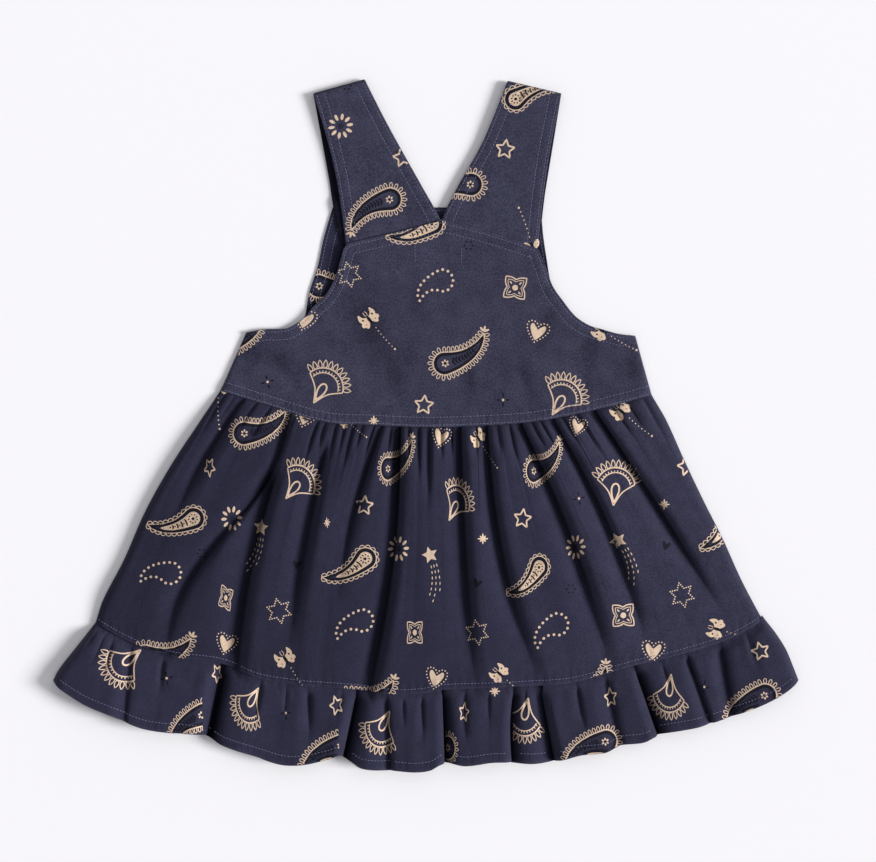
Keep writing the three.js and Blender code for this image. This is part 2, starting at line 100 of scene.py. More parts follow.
# Outlines, as (x, y)
WAIST: Rows = (
    (-143.5, 24), (-112, 14.4), (-71, 2.2), (-35, 0), (-4, -1.4), (28, -0.8), (71, 1.8), (103, 7.2),
    (135, 14.7), (158, 21),
)
UNDERARM_LEFT = (-125.5, 64.6)
UNDERARM_RIGHT = (146.4, 62.4)
STRAP_CORNER_LEFT = (-57.3, 123.0)
STRAP_CORNER_RIGHT = (78.4, 123.0)
LEFT_ARMHOLE: Rows = (
    UNDERARM_LEFT, (-112, 67), (-98.5, 67.4), (-90.5, 71), (-84, 76), (-79, 82.4), (-70, 91), (-63, 104),
    STRAP_CORNER_LEFT,
)
ARCH: Rows = (
    STRAP_CORNER_LEFT, (-53.8, 126.8), (-45, 129), (-26.6, 133.2), (4.8, 141.2), (10.6, 143.5),
    (16, 141.6), (32.7, 137.6), (55.4, 131), STRAP_CORNER_RIGHT,
)
RIGHT_ARMHOLE: Rows = (
    STRAP_CORNER_RIGHT, (83.5, 111), (88.6, 97.4), (96, 86.6), (104.4, 76.2), (114, 69.8), (123, 67),
    (135, 63.6), UNDERARM_RIGHT,
)
BIB_TOP = 152.2
BIB_LEFT_ARMHOLE: Rows = (
    UNDERARM_LEFT, (-112, 66), (-98, 66), (-89, 71), (-82.4, 80), (-82.6, 86), (-81, 94.5),
    (-75.5, 111.3), (-71.5, 130.2), (-65.2, BIB_TOP),
)
BIB_RIGHT_ARMHOLE: Rows = (
    (80.6, BIB_TOP), (82, 134), (84.6, 116), (88, 98), (95.5, 86), (104, 75.6), (114, 69.2),
    (123, 66.4), (135, 63), UNDERARM_RIGHT,
)
SKIRT_LEFT: Rows = (
    (-230.8, -138), (-225.6, -122.2), (-211.2, -94.5), (-196, -60), (-178.2, -28.2), (-158.2, 2.1),
    (-143.7, 24), (-142, 29),
)
SKIRT_RIGHT: Rows = (
    (236.2, -138), (220.6, -108.5), (208, -80.5), (194, -52.5), (180.7, -24.5), (168.1, 3.5),
    (158, 21), (156, 26),
)
SKIRT_HEM: Rows = (
    (-231, -138), (-206.5, -151.5), (-176.5, -161.5), (-143.6, -166.2), (-115.6, -176.8),
    (-90.2, -181), (-54.6, -184), (-20.6, -187.8), (-2, -187), (9.9, -184.6), (43.8, -183.2),
    (86.9, -181), (105.1, -178.9), (143.4, -168), (166.3, -162.8), (186.6, -157.5), (210.4, -149.7),
    (226, -142), (236.4, -135),
)
RUFFLE_LEFT: Rows = (
    (-260.6, -178.4), (-256.5, -170.8), (-244.6, -155.6), (-230.8, -138), (-228, -134),
)
RUFFLE_RIGHT: Rows = (
    (260.6, -178.4), (256.1, -166.8), (251.8, -156.8), (244.7, -145.6), (236.4, -135), (233.8, -131),
)
RUFFLE_HEM: Rows = (
    (-260.6, -178.4), (-254.8, -183.5), (-237, -194.6), (-219.2, -202), (-198, -211),
    (-179.3, -214.2), (-168, -214.8), (-152.2, -217.4), (-142, -223), (-119.9, -230.2),
    (-98.7, -236.4), (-84, -236.4), (-67, -232.4), (-60.6, -230.6), (-52, -234.6), (-44.4, -238.8),
    (-20.6, -240.8), (-7.1, -241.6), (3.2, -240.4), (12.5, -235.6), (27.7, -237.4), (48, -234.9),
    (77, -235.3), (91.6, -234), (108.6, -229.8), (125.4, -228), (136.6, -223), (151.8, -220.9),
    (162.8, -215.8), (190, -210.3), (216.8, -201.8), (235.3, -194.6), (249.6, -186.8),
    (260.6, -178.4),
)
# How far the front hem shows below the back hem, or stays above it, as (x, drop)
FRONT_HEM_DROP: Rows = (
    (-260, -1), (-160, -1), (-138, -1.4), (-112, 2), (-86, 1), (-70, -1.4), (-56, 0.8), (-42, 2),
    (-25, 1), (-8, -1.4), (40, -1.4), (59, 1), (74, 2), (88, 0.6), (100, -1.4), (260, -1),
)


@dataclass(frozen=True)
class Curve:
    """A smooth curve through rows of (x, y), read at any x."""

    rows: Rows
    swapped: bool = False

    def __call__(self, at: Field | float) -> Field:
        """Read the curve.

        Args:
            at: places along x, or along y where the rows are swapped.

        Returns:
            The other coordinate at each place.
        """
        points = np.asarray(self.rows, float)
        if self.swapped:
            points = points[:, ::-1]
        xs, ys = points[:, 0], points[:, 1]
        last = len(xs) - 1
        ahead = np.minimum(np.arange(last + 1) + 1, last)
        behind = np.maximum(np.arange(last + 1) - 1, 0)
        slopes = (ys[ahead] - ys[behind]) / (xs[ahead] - xs[behind])
        i = np.clip(np.searchsorted(xs, at, side="left") - 1, 0, last - 1)
        span = xs[i + 1] - xs[i]
        t = np.clip((at - xs[i]) / span, 0, 1)
        t2, t3 = t * t, t * t * t
        return (
            (2 * t3 - 3 * t2 + 1) * ys[i] + (t3 - 2 * t2 + t) * span * slopes[i]
            + (3 * t2 - 2 * t3) * ys[i + 1] + (t3 - t2) * span * slopes[i + 1]
        )


def smooth_line(rows: Rows, steps: int = 40) -> Field:
    """Run a smooth line through points of the plan.

    Args:
        rows: the points.
        steps: points made between each two.

    Returns:
        The line's points, as rows of (x, y).
    """
    p = np.asarray(rows, float)
    last = len(p) - 1
    t = np.linspace(0, last, steps * last + 1)
    i = np.minimum(t.astype(int), last - 1)
    w = (t - i)[:, None]
    before, here, there, after = p[np.maximum(i - 1, 0)], p[i], p[i + 1], p[np.minimum(i + 2, last)]
    leaving, arriving = (there - before) / 2, (after - here) / 2
    return (
        (2 * here - 2 * there + leaving + arriving) * w**3
        + (3 * there - 3 * here - 2 * leaving - arriving) * w**2 + leaving * w + here
    )


def spaced(line: Field, count: int) -> Field:
    """Put count + 1 points at even distances along a line."""
    steps = norm(np.diff(line, axis=0), axis=1)
    run = np.concatenate([[0], np.cumsum(steps)])
    at = np.linspace(0, run[-1], count + 1)
    return np.stack([np.interp(at, run, line[:, k]) for k in range(line.shape[1])], axis=1)


def zipped(*values: Field) -> Field:
    """Put columns of values side by side."""
    return np.stack(values, axis=1)


def line_length(line: Field) -> float:
    """Length of a line of points."""
    return float(norm(np.diff(line, axis=0), axis=1).sum())


def moved_aside(line: Field, distance: float) -> Field:
    """Move a line sideways in plan, to its left where the distance is positive."""
    along = np.gradient(line, axis=0)
    along /= norm(along, axis=1)[:, None]
    return line + distance * zipped(-along[:, 1], along[:, 0])


def eased(distance: Field, reach: float) -> Field:
    """Ease from 0 to 1 over a reach, level at both ends."""
    t = np.clip(distance / reach, 0, 1)
    return t * t * (3 - 2 * t)


def rounded(distance: Field, reach: float) -> Field:
    """Rise from 0 to 1 over a reach, round like the edge of a fold."""
    t = np.clip(distance / reach, 0, 1)
    return np.sqrt(1 - (1 - t) ** 2)


def bell(distance: Field, width: float) -> Field:
    """A soft bump of height 1."""
    return np.exp(-((distance / width) ** 2))


def softly_over(height: Field, lowest: Field, softness: float = 0.45) -> Field:
    """Keep a height above a lowest one, with a soft turn between them."""
    gap = height - lowest
    return lowest + 0.5 * (gap + np.sqrt(gap * gap + softness * softness))


waist = Curve(WAIST)
skirt_hem = Curve(SKIRT_HEM)
skirt_left = Curve(SKIRT_LEFT, swapped=True)
skirt_right = Curve(SKIRT_RIGHT, swapped=True)
ruffle_hem = Curve(RUFFLE_HEM)
ruffle_left = Curve(RUFFLE_LEFT, swapped=True)
ruffle_right = Curve(RUFFLE_RIGHT, swapped=True)
arch_height = Curve(ARCH)
front_hem_drop = Curve(FRONT_HEM_DROP)


@dataclass(frozen=True)
class Woven:
    """A finish with the slanting ribs of twill: the dyed cloth, or matt print that shows them."""

    name: str
    colour: Triple
    deep: Triple
    # The colour painted into the shade of folds, and the lighter colour of worn edges and of painted light
    painted_shade_colour: Triple
    worn_and_lit: Triple | None = None
    roughness: float = 0.8
    rib_pitch: float = 0.85
    rib_height: float = 0.035
    sheen: float = 0.0


@dataclass(frozen=True)
class Thread:
    """Spun topstitching thread with a twist."""

    name: str = "slate_thread"
    colour: Triple = (0.205, 0.212, 0.33)
    shaded: Triple = (0.115, 0.12, 0.205)
    roughness: float = 0.6
    twist_pitch: float = 0.5
    twist_height: float = 0.04


TWILL = Woven(
    "navy_twill", colour=(0.0258, 0.0253, 0.0545), deep=(0.0156, 0.0153, 0.0345),
    painted_shade_colour=(0.0021, 0.0021, 0.0046), worn_and_lit=(0.068, 0.0672, 0.112), roughness=0.9, rib_height=0.12,
    sheen=0.045,
)
CREAM_INK = Woven(
    "cream_print", colour=(0.7, 0.53, 0.38), deep=(0.52, 0.39, 0.3), painted_shade_colour=(0.06, 0.044, 0.034)
)
DARK_INK = Woven(
    "dark_print", colour=(0.005, 0.005, 0.0105), deep=(0.008, 0.008, 0.016),
    painted_shade_colour=(0.002, 0.002, 0.0044),
)
THREAD = Thread()


class NodeTree:
    """Short hand for wiring the nodes of a material or group."""

    def __init__(self, tree: bpy.types.NodeTree) -> None:
        """Start from a tree and clear it."""
        self.tree = tree
        tree.nodes.clear()

    def add(self, kind: str, links: dict | None = None, **values: object) -> bpy.types.Node:
        """Add a node.

        Args:
            kind: the node's type.
            links: values or sockets for its inputs, by name or number.
            values: properties of the node.

        Returns:
            The node.
        """
        node = self.tree.nodes.new(kind)
        for key, value in values.items():
            setattr(node, key, value)
        for key, value in (links or {}).items():
            if isinstance(value, Socket):
                self.tree.links.new(value, node.inputs[key])
            else:
                node.inputs[key].default_value = value
        return node

    def maths(self, operation: str, *values: Socket | float) -> Socket:
        """Work out a value from up to three others."""
        return self.add("ShaderNodeMath", dict(enumerate(values)), operation=operation).outputs[0]

    def painted(self, name: str) -> Socket:
        """Read a value that is kept on the points of a piece."""
        return self.add("ShaderNodeAttribute", attribute_name=name).outputs["Fac"]

    def mix(
        self, share: Socket, first: Socket | tuple, second: tuple
    ) -> Socket:
        """Mix two colours.

        Args:
            share: how much of the second colour there is.
            first: the first colour, as a socket or as red, green and blue.
            second: the second, as red, green and blue.

        Returns:
            The mixed colour's socket.
        """
        if isinstance(first, tuple):
            first = (*first, 1)
        return self.add("ShaderNodeMix", {0: share, 6: first, 7: (*second, 1)}, data_type="RGBA").outputs[2]


class WeaveGroup:
    """Shader group for the slanting ribs and the crossing yarns of twill."""

    NAME = "twill_weave"
    RIB_SLANT = math.radians(57)
    WAVE_TURNS = 20.0
    YARNS_PER_RIB = 1.7
    YARN_SHARE = 0.35
    SLUB_SHARE = 0.9
    CLOUD_SHARE = 0.4
    SLUB_SCALE = 900.0
    CLOUD_SCALE = 95.0
    MOTTLE_SPAN = (0.48, 0.92)

    def build(self) -> bpy.types.NodeTree:
        """Build the group once.

        Returns:
            The group, with a pitch in millimetres in and a height and a mottle out.
        """
        tree = bpy.data.node_groups.new(self.NAME, "ShaderNodeTree")
        for name, way in (("Pitch", "INPUT"), ("Height", "OUTPUT"), ("Mottle", "OUTPUT")):
            tree.interface.new_socket(name, in_out=way, socket_type="NodeSocketFloat")
        nodes = NodeTree(tree)
        pitch = nodes.add("NodeGroupInput").outputs["Pitch"]
        place = nodes.add("ShaderNodeTexCoord").outputs["Object"]
        scale = nodes.maths("DIVIDE", 2 * math.pi / (self.WAVE_TURNS * MM), pitch)
        finer = nodes.maths("MULTIPLY", scale, self.YARNS_PER_RIB)
        turned = nodes.add("ShaderNodeMapping", {"Vector": place, "Rotation": (0, 0, self.RIB_SLANT)})
        ribs = nodes.add(
            "ShaderNodeTexWave",
            {"Vector": turned.outputs[0], "Scale": scale, "Distortion": 1.4, "Detail": 2.0},
        )
        yarns = nodes.add(
            "ShaderNodeTexWave", {"Vector": place, "Scale": finer, "Distortion": 2.0, "Detail": 2.0},
            bands_direction="Y",
        )
        slubs, clouds = (
            nodes.add("ShaderNodeTexNoise", {"Vector": place, "Scale": size, "Detail": fine}).outputs["Fac"]
            for size, fine in ((self.SLUB_SCALE, 3.0), (self.CLOUD_SCALE, 4.0))
        )
        woven = nodes.maths("MULTIPLY_ADD", yarns.outputs["Fac"], self.YARN_SHARE, ribs.outputs["Fac"])
        rough = nodes.maths("MULTIPLY_ADD", slubs, self.SLUB_SHARE, woven)
        mixed = nodes.maths("ADD", slubs, nodes.maths("MULTIPLY", clouds, self.CLOUD_SHARE))
        low, high = self.MOTTLE_SPAN
        spread = nodes.add("ShaderNodeMapRange", {"Value": mixed, "From Min": low, "From Max": high})
        nodes.add("NodeGroupOutput", {"Height": rough, "Mottle": spread.outputs[0]})
        return tree


class Materials:
    """The finishes of the dress and of the table, as node materials."""

    GLOSS = 0.13
    FUZZ_SPREAD = 0.6
    TABLE_COLOUR = (0.84, 0.835, 0.855, 1)
    TABLE_ROUGHNESS = 0.9
    TABLE_GLOSS = 0.1

    def __init__(self) -> None:
        """Build the shared group and every material."""
        self.weave = WeaveGroup().build()
        self.twill, self.cream, self.dark = (self._woven(finish) for finish in (TWILL, CREAM_INK, DARK_INK))
        self.thread = self._thread(THREAD)
        self.floor = self._floor()

    def _new(self, name: str) -> tuple[Material, NodeTree]:
        """Make an empty node material."""
        material = bpy.data.materials.new(name)
        material.use_nodes = True
        return material, NodeTree(material.node_tree)

    def _finish(
        self,
        nodes: NodeTree,
        colour: Socket,
        height: Socket,
        relief: float,
        roughness: float,
        sheen: float,
        crease: Socket | None = None,
    ) -> None:
        """Close a material with a bump, a Principled shader and an output.

        Args:
            nodes: the material's nodes.
            colour: socket with the base colour.
            height: socket with the bump's height.
            relief: depth of the bump in millimetres.
            roughness: roughness of the surface.
            sheen: weight of the fuzz.
            crease: socket with the painted shade of the folds, which also takes gloss and sheen away there.
        """
        gloss, fuzz = self.GLOSS, sheen
        if crease is not None:
            gloss, fuzz = (nodes.maths("MULTIPLY_ADD", crease, -full, full) for full in (gloss, fuzz))
        bump = nodes.add("ShaderNodeBump", {"Height": height, "Distance": relief * MM, "Strength": 1.0})
        shader = nodes.add(
            "ShaderNodeBsdfPrincipled",
            {
                "Base Color": colour, "Roughness": roughness, "Specular IOR Level": gloss,
                "Sheen Weight": fuzz, "Sheen Roughness": self.FUZZ_SPREAD, "Normal": bump.outputs[0],
            },
        )
        nodes.add("ShaderNodeOutputMaterial", {"Surface": shader.outputs[0]})

    def _woven(self, finish: Woven) -> Material:
        """Make the material of the cloth, or of an ink on it.

        Args:
            finish: its tones and its ribs.

        Returns:
            The material, which turns paler with wear and painted light and darker with painted shade, by
            the values kept on a piece's points.
        """
        material, nodes = self._new(finish.name)
        weave = nodes.add("ShaderNodeGroup", node_tree=self.weave)
        weave.inputs["Pitch"].default_value = finish.rib_pitch
        mottle = weave.outputs["Mottle"]
        tone = nodes.mix(mottle, finish.deep, finish.colour)
        if finish.worn_and_lit is not None:
            tone = nodes.mix(nodes.maths("MULTIPLY", nodes.painted("fade"), mottle), tone, finish.worn_and_lit)
        # Painted shade: the colour goes towards a near black where a piece keeps shade on its points
        crease = nodes.painted("crease")
        self._finish(
            nodes, nodes.mix(crease, tone, finish.painted_shade_colour), weave.outputs["Height"], finish.rib_height,
            finish.roughness, finish.sheen, crease,
        )
        return material

    def _thread(self, finish: Thread) -> Material:
        """Make the material of the topstitching thread."""
        material, nodes = self._new(finish.name)
        place = nodes.add("ShaderNodeTexCoord").outputs["Object"]
        scale = 2 * math.pi / (WeaveGroup.WAVE_TURNS * finish.twist_pitch * MM)
        twist = nodes.add(
            "ShaderNodeTexWave", {"Vector": place, "Distortion": 1.0, "Scale": scale},
            bands_direction="DIAGONAL",
        ).outputs["Fac"]
        colour = nodes.mix(twist, finish.shaded, finish.colour)
        self._finish(nodes, colour, twist, finish.twist_height, finish.roughness, 0.0)
        return material

    def _floor(self) -> Material:
        """Make the material of the plain pale table."""
        material, nodes = self._new("pale_table")
        shader = nodes.add("ShaderNodeBsdfPrincipled", {
            "Base Color": self.TABLE_COLOUR, "Roughness": self.TABLE_ROUGHNESS,
            "Specular IOR Level": self.TABLE_GLOSS,
        })
        nodes.add("ShaderNodeOutputMaterial", {"Surface": shader.outputs[0]})
        return material


@dataclass(frozen=True)
class Fold:
    """A valley down a gathered panel, or a ridge where its depth is negative.

    It leaves the upper seam at top and would reach the lower edge at bottom, bows sideways, runs
    from start to end as shares of the panel, and is depth deep and left and right wide. It may lean
    over to one side, and sway out and back along its way.
    """

    top: float
    bottom: float
    bow: float
    start: float
    end: float
    depth: float
    left: float
    right: float
    lean: float = 0.0
    sway: float = 0.0


def folds(*rows: tuple[float, ...]) -> tuple[Fold, ...]:
    """Make folds from rows of their values, in the order of the fields."""
    return tuple(Fold(*row) for row in rows)


@dataclass(frozen=True)
class Crease:
    """A soft trough, or a ridge where its depth is negative, along a line in plan."""

    start: Pair
    end: Pair
    depth: float
    width: float

    def at(self, x: Field, y: Field) -> Field:
        """Depth of the trough at each point."""
        first, last = np.asarray(self.start), np.asarray(self.end)
        along = last - first
        length = float(np.hypot(*along))
        along = along / length
        run = (x - first[0]) * along[0] + (y - first[1]) * along[1]
        aside = (x - first[0]) * along[1] - (y - first[1]) * along[0]
        ends = eased(run + self.width, 2 * self.width) * eased(length + self.width - run, 2 * self.width)
        return self.depth * ends * bell(aside, self.width)


SKIRT_FOLDS = folds(
    (-138, -222.5, -6, 0, 0.2, 2.4, 2, 2.8), (-131.5, -216, -7, 0, 0.16, 2, 2, 2.4),
    (-124.5, -206, -9, 0, 0.55, 4.6, 4.4, 3), (-115.4, -197.5, -9, 0, 0.14, 2.2, 2.2, 2),
    (-105.6, -189, -8, 0, 0.16, 2.2, 2.2, 1.9), (-93.7, -180.5, 0, 0, 1.1, 5.8, 6.4, 3, 0, 9),
    (-88.6, -131.5, -7, 0.2, 1, 7.4, 7.4, 3.4), (-73.4, -114.7, -6, 0, 0.18, 3, 2.2, 1.5),
    (-68.5, -105.6, -4, 0, 0.14, 2.8, 1.9, 1.4), (-64.3, -97.2, -3, 0.06, 0.96, 5.6, 6, 3.2),
    (-60.8, -92, -2, 0, 0.16, 3, 2.2, 1.4), (-54.5, -87, -3, 0, 0.14, 2.7, 2, 1.5),
    (-48.2, -82, -4, 0, 0.2, 3.2, 2.6, 1.4), (-42.2, -77, -6, 0, 0.14, 2.9, 2.1, 1.4),
    (-34.4, -72, -7, 0, 0.16, 3, 2.2, 1.4), (-28.6, -66, -8, 0, 0.74, 5.2, 5, 2.4),
    (-23, -45.4, -1, 0, 0.14, 2.8, 1.9, 1.4), (-17.4, -38.4, 6, 0, 1, 7.6, 6.6, 2.2),
    (-11.1, -25.1, 5, 0, 0.14, 2.8, 2.1, 1.4), (-4.1, -13.2, 3, 0, 0.24, 3.2, 2.6, 1.6),
    (3.6, -2, 1, 0, 0.34, 3.8, 3.2, 1.9), (12, 9.9, 0, 0, 0.16, 3, 2.4, 1.6),
    (18.5, 21.1, 0, 0, 0.14, 2.9, 2, 1.5), (24.4, 35.8, -2, 0, 1.08, 6.6, 7, 3.2),
    (35.8, 48.4, -4, 0, 0.16, 2.9, 2.1, 1.5), (42.8, 80.6, -8, 0, 1.02, 6.6, 5.8, 2.8),
    (50.5, 89, -5, 0, 0.16, 2.6, 2.4, 1.7), (58.2, 102, -2, 0, 0.2, 3.3, 2.6, 1.6),
    (65.2, 130.3, 6, 0, 1.05, 6.8, 6.4, 3), (73.2, 140.8, 7, 0, 0.14, 2.9, 2, 1.5),
    (79, 148.5, 8, 0, 0.14, 2.9, 2, 1.5), (87.6, 157, 9, 0, 1.0001, 6.2, 5.4, 2.6),
    (94.4, 168.1, 8, 0, 0.14, 2.5, 2.1, 1.6), (104.4, 188.4, 5, 0, 0.24, 2.6, 2.8, 2),
    (116.3, 217, 2, 0, 0.98, 7.2, 6.2, 3), (128.9, 223.6, 3, 0, 0.16, 2.4, 2.4, 1.8),
    (139.4, 228.6, 2, 0, 0.16, 2.2, 2.4, 2), (149.9, 232.8, 1, 0, 0.24, 2.1, 2.4, 2.4),
)

# Crests beside the long folds, and broad swells between them
SKIRT_RIDGES = folds(
    (-119, -196, -9, 0.05, 0.7, -1.4, 6, 9), (-84, -122, -6, 0.16, 1, -1.8, 4, 10),
    (-90, -168, -8, 0.1, 0.95, -1.6, 4, 9), (-58, -88, -3, 0.2, 1, -1.6, 4.5, 9),
    (-24, -57, -7, 0.08, 0.8, -1.2, 3.4, 7), (-11.5, -30, 6, 0.03, 1, -2, 3.4, 12),
    (30.5, 44, -2, 0.06, 1, -1.6, 4, 9), (48, 88, -8, 0.06, 1, -1.6, 3.6, 11),
    (71, 138, 6, 0.1, 1, -1.8, 4, 10), (92.5, 164, 8, 0.08, 0.95, -1.8, 3.6, 10),
    (122, 222, 2, 0.08, 0.9, -1.4, 4, 9),
)

RUFFLE_FOLDS = folds(
    (-226, -254, 0, 0, 0.5, 1.4, 1.6, 2), (-221, -243.5, 0, 0, 0.6, 1.6, 1.8, 2.2),
    (-215.6, -230.2, 0, 0, 0.7, 1.8, 2.4, 2), (-203.6, -208.5, 0, 0, 1, 3.4, 4.6, 3.4),
    (-182.6, -187.5, 0, 0, 0.6, 2.6, 2.4, 2.6), (-143, -154, 0, 0, 1, 8.4, 4.2, 6.4, 1),
    (-113.3, -121.7, 0, 0, 0.7, 3, 3.2, 1.9), (-97.2, -100, 0, 0, 0.5, 1.8, 1.6, 2),
    (-82.5, -81, 0, 0, 0.8, 3, 2.4, 3), (-57, -71, 0, 0, 0.5, 1.8, 1.6, 2),
    (-48.2, -58.6, 0, 0, 1, 8, 1.8, 5.4, 1.1), (-26.5, -24.4, 0, 0, 1, 5, 4.4, 2.6),
    (-15.3, -12.5, 0, 0, 0.5, 1.8, 1.8, 1.6), (-2, 0.1, 0, 0, 0.7, 3, 2.4, 2),
    (10.6, 12.5, 0, 0, 1, 7.6, 1.6, 4.6, 1), (28.1, 29.5, 0, 0, 0.8, 3.2, 2.8, 2.4),
    (44.9, 44.9, 0, 0, 0.6, 1.8, 2.4, 2), (61.6, 59.4, -2, 0, 1, 7, 1.6, 4.4, 0.9),
    (70.6, 72, -1, 0, 0.5, 1.8, 1.8, 1.6), (80.6, 91, 0, 0, 1, 8.4, 6.4, 2.4, -1),
    (105.1, 115, 0, 0, 0.8, 3.2, 3, 2.2), (125.4, 137.3, 0, 0, 1, 3.8, 5, 4),
    (143.4, 161.1, 0, 0, 1, 7.4, 1.8, 5.4, 0.8), (163.9, 179.3, 0, 0, 0.6, 2, 2.4, 2),
    (181.4, 199.6, 0, 0, 1, 5, 3.2, 2), (206, 215, 0, 0, 1, 5, 6.4, 5),
    (222, 238, 0, 0, 0.6, 1.8, 2.2, 2.4),
)

RUFFLE_RIDGES = folds(
    (-208, -220, 0, 0.1, 1, -0.8, 5, 5), (-146.5, -162, 0, 0.05, 1, -1.2, 6, 3),
    (-120, -130, 0, 0.2, 1, -0.8, 6, 6), (-90, -90, 0, 0.2, 1, -1, 7, 7),
    (-52, -64, 0, 0.05, 1, -1.1, 5, 2.4), (-37, -41, 0, 0.1, 1, -1, 5, 5),
    (-9, -8, 0, 0.2, 1, -0.9, 6, 6), (7, 9, 0, 0.05, 1, -0.8, 5, 2.4), (36, 37, 0, 0.15, 1, -1, 7, 7),
    (58, 55.5, -2, 0.05, 1, -0.8, 5, 2.4), (84.5, 97, 0, 0.05, 1, -1.2, 2.6, 6),
    (113, 124, 0, 0.2, 1, -0.8, 6, 6), (139, 156, 0, 0.05, 1, -1, 6, 2.6),
    (173, 189, 0, 0.1, 1, -1, 6, 6), (193, 207, 0, 0.1, 1, -0.9, 5, 5),
    (226, 244, 0, 0.2, 1, -0.8, 6, 6),
)

BODICE_CREASES: tuple[Crease, ...] = (
    Crease((-96, 12), (-90, 40), 0.35, 7),
    Crease((-20, 8), (-22, 60), 0.3, 9),
    Crease((44, 8), (48, 70), 0.28, 10),
    Crease((112, 16), (104, 44), 0.4, 6),
    Crease((-78, 86), (-58, 70), 0.25, 7),
    Crease((-108, 48), (-90, 26), 0.45, 5),
    Crease((-18, 74), (-14, 38), 0.4, 6),
    Crease((112, 58), (110, 22), 0.45, 5),
    Crease((92, 92), (76, 70), 0.28, 8),
    Crease((-4, 60), (0, 120), -0.25, 16),
    Crease((74, 20), (70, 60), -0.3, 12),
    Crease((-58, 18), (-54, 60), -0.3, 12),
)

STRAP_LEFT_BACK: tuple[Rows, Rows] = (
    ((-54.8, 116.4), (-55.8, 124.6), (-58.4, 146), (-63.2, 175.7), (-70, 203), (-78.7, 231.8)),
    ((9.6, 135.6), (9.6, 144.4), (-2, 165.6), (-14.6, 188), (-29, 214.3), (-42.8, 241.7)),
)
STRAP_LEFT_FRONT: tuple[Rows, Rows] = (
    ((-78.7, 231.8), (-73.8, 205.2), (-67.8, 172.6), (-64.9, 154), (-58.8, 126)),
    ((-42.8, 241.7), (-37.4, 208), (-31, 173), (-27.6, 154), (-22.4, 126)),
)
STRAP_RIGHT_BACK: tuple[Rows, Rows] = (
    ((11.6, 135.6), (11.6, 144.4), (22.6, 167), (37.1, 192.4), (45.4, 210.6), (57.3, 240.6)),
    ((76.4, 116.4), (78.2, 124.4), (81.4, 154), (84.6, 178), (88.9, 203), (94.8, 231.8)),
)
STRAP_RIGHT_FRONT: tuple[Rows, Rows] = (
    ((57.3, 240.6), (53.4, 206), (48.6, 172), (45.6, 154), (42, 126)),
    ((94.8, 231.8), (90, 202), (84.9, 171), (82.4, 154), (79, 124)),
)


def store(mesh: bpy.types.Mesh, name: str, values: Field) -> None:
    """Keep a value for each point of a mesh."""
    attribute = mesh.attributes.new(name, "FLOAT", "POINT")
    attribute.data.foreach_set("value", np.asarray(values, np.float32))


def linked(
    name: str, points: Field, faces: Field, material: Material | None = None
) -> Piece:
    """Put a smooth object into the scene.

    Args:
        name: its name.
        points: its points in millimetres.
        faces: its faces, as rows of point numbers.
        material: its finish, if it already has one.

    Returns:
        The object, in metres.
    """
    mesh = bpy.data.meshes.new(name)
    mesh.from_pydata((points * MM).tolist(), [], faces.tolist())
    mesh.polygons.foreach_set("use_smooth", np.ones(len(mesh.polygons), bool))
    if material is not None:
        mesh.materials.append(material)
    mesh.update()
    piece = bpy.data.objects.new(name, mesh)
    bpy.context.collection.objects.link(piece)
    return piece


class Shell:
    """Makes a thin closed shell of cloth from a grid of points on its middle surface."""

    LIP = 0.6
    LIP_SHARE = 0.35

    def __init__(self, thickness: float) -> None:
        """Set the shell's thickness in millimetres."""
        self.thickness = thickness

    def edge_distance(self, grid: Field) -> Field:
        """Measure how far each point lies from its nearest border, along the grid.

        Args:
            grid: points, as rows by columns.

        Returns:
            The distances.
        """
        down = norm(np.diff(grid, axis=0), axis=2)
        across = norm(np.diff(grid, axis=1), axis=2)
        run_down = np.concatenate([np.zeros((1, grid.shape[1])), np.cumsum(down, axis=0)])
        run_across = np.concatenate([np.zeros((grid.shape[0], 1)), np.cumsum(across, axis=1)], axis=1)
        return np.minimum.reduce(
            [run_down, run_down[-1:] - run_down, run_across, run_across[:, -1:] - run_across]
        )

    def build(
        self, name: str, grid: Field, fade: Field | float = 0.0, crease: Field | float = 0.0,
        painted_shade_inside: bool = False,
    ) -> Piece:
        """Build the shell as an object.

        Args:
            name: the object's name.
            grid: points in millimetres, rows from top to bottom by columns from left to right.
            fade: how much paler the cloth is at each point, from 0 to 1, from worn edges and painted light.
            crease: how much painted shade each point gets, from 0 to 1.
            painted_shade_inside: whether the painted shade goes on the inner side of the cloth only.

        Returns:
            The object, in metres.
        """
        normal = np.cross(np.gradient(grid, axis=0), np.gradient(grid, axis=1))
        normal /= norm(normal, axis=2)[:, :, None]
        distance = self.edge_distance(grid)
        lip = self.LIP_SHARE + (1 - self.LIP_SHARE) * rounded(distance, self.LIP)
        offset = normal * (self.thickness / 2 * lip)[:, :, None]
        points = np.concatenate([(grid + offset).reshape(-1, 3), (grid - offset).reshape(-1, 3)])
        rows, columns = grid.shape[:2]
        index = np.arange(rows * columns).reshape(rows, columns)
        a, b, c, d = index[:-1, :-1], index[1:, :-1], index[1:, 1:], index[:-1, 1:]
        upper = np.stack([a, b, c, d], axis=-1).reshape(-1, 4)
        lower = upper[:, ::-1] + rows * columns
        border = np.concatenate([index[0, ::-1], index[1:, 0], index[-1, 1:], index[-2::-1, -1]])
        ahead = np.roll(border, -1)
        keep = border != ahead
        border, ahead = border[keep], ahead[keep]
        sides = zipped(border, border + rows * columns, ahead + rows * columns, ahead)
        piece = linked(name, points, np.concatenate([upper, lower, sides]))
        for key, value in (("fade", fade), ("crease", crease)):
            spread = np.broadcast_to(value, (rows, columns)).reshape(-1)
            outside = 0 * spread if painted_shade_inside and key == "crease" else spread
            store(piece.data, key, np.concatenate([outside, spread]))
        return piece


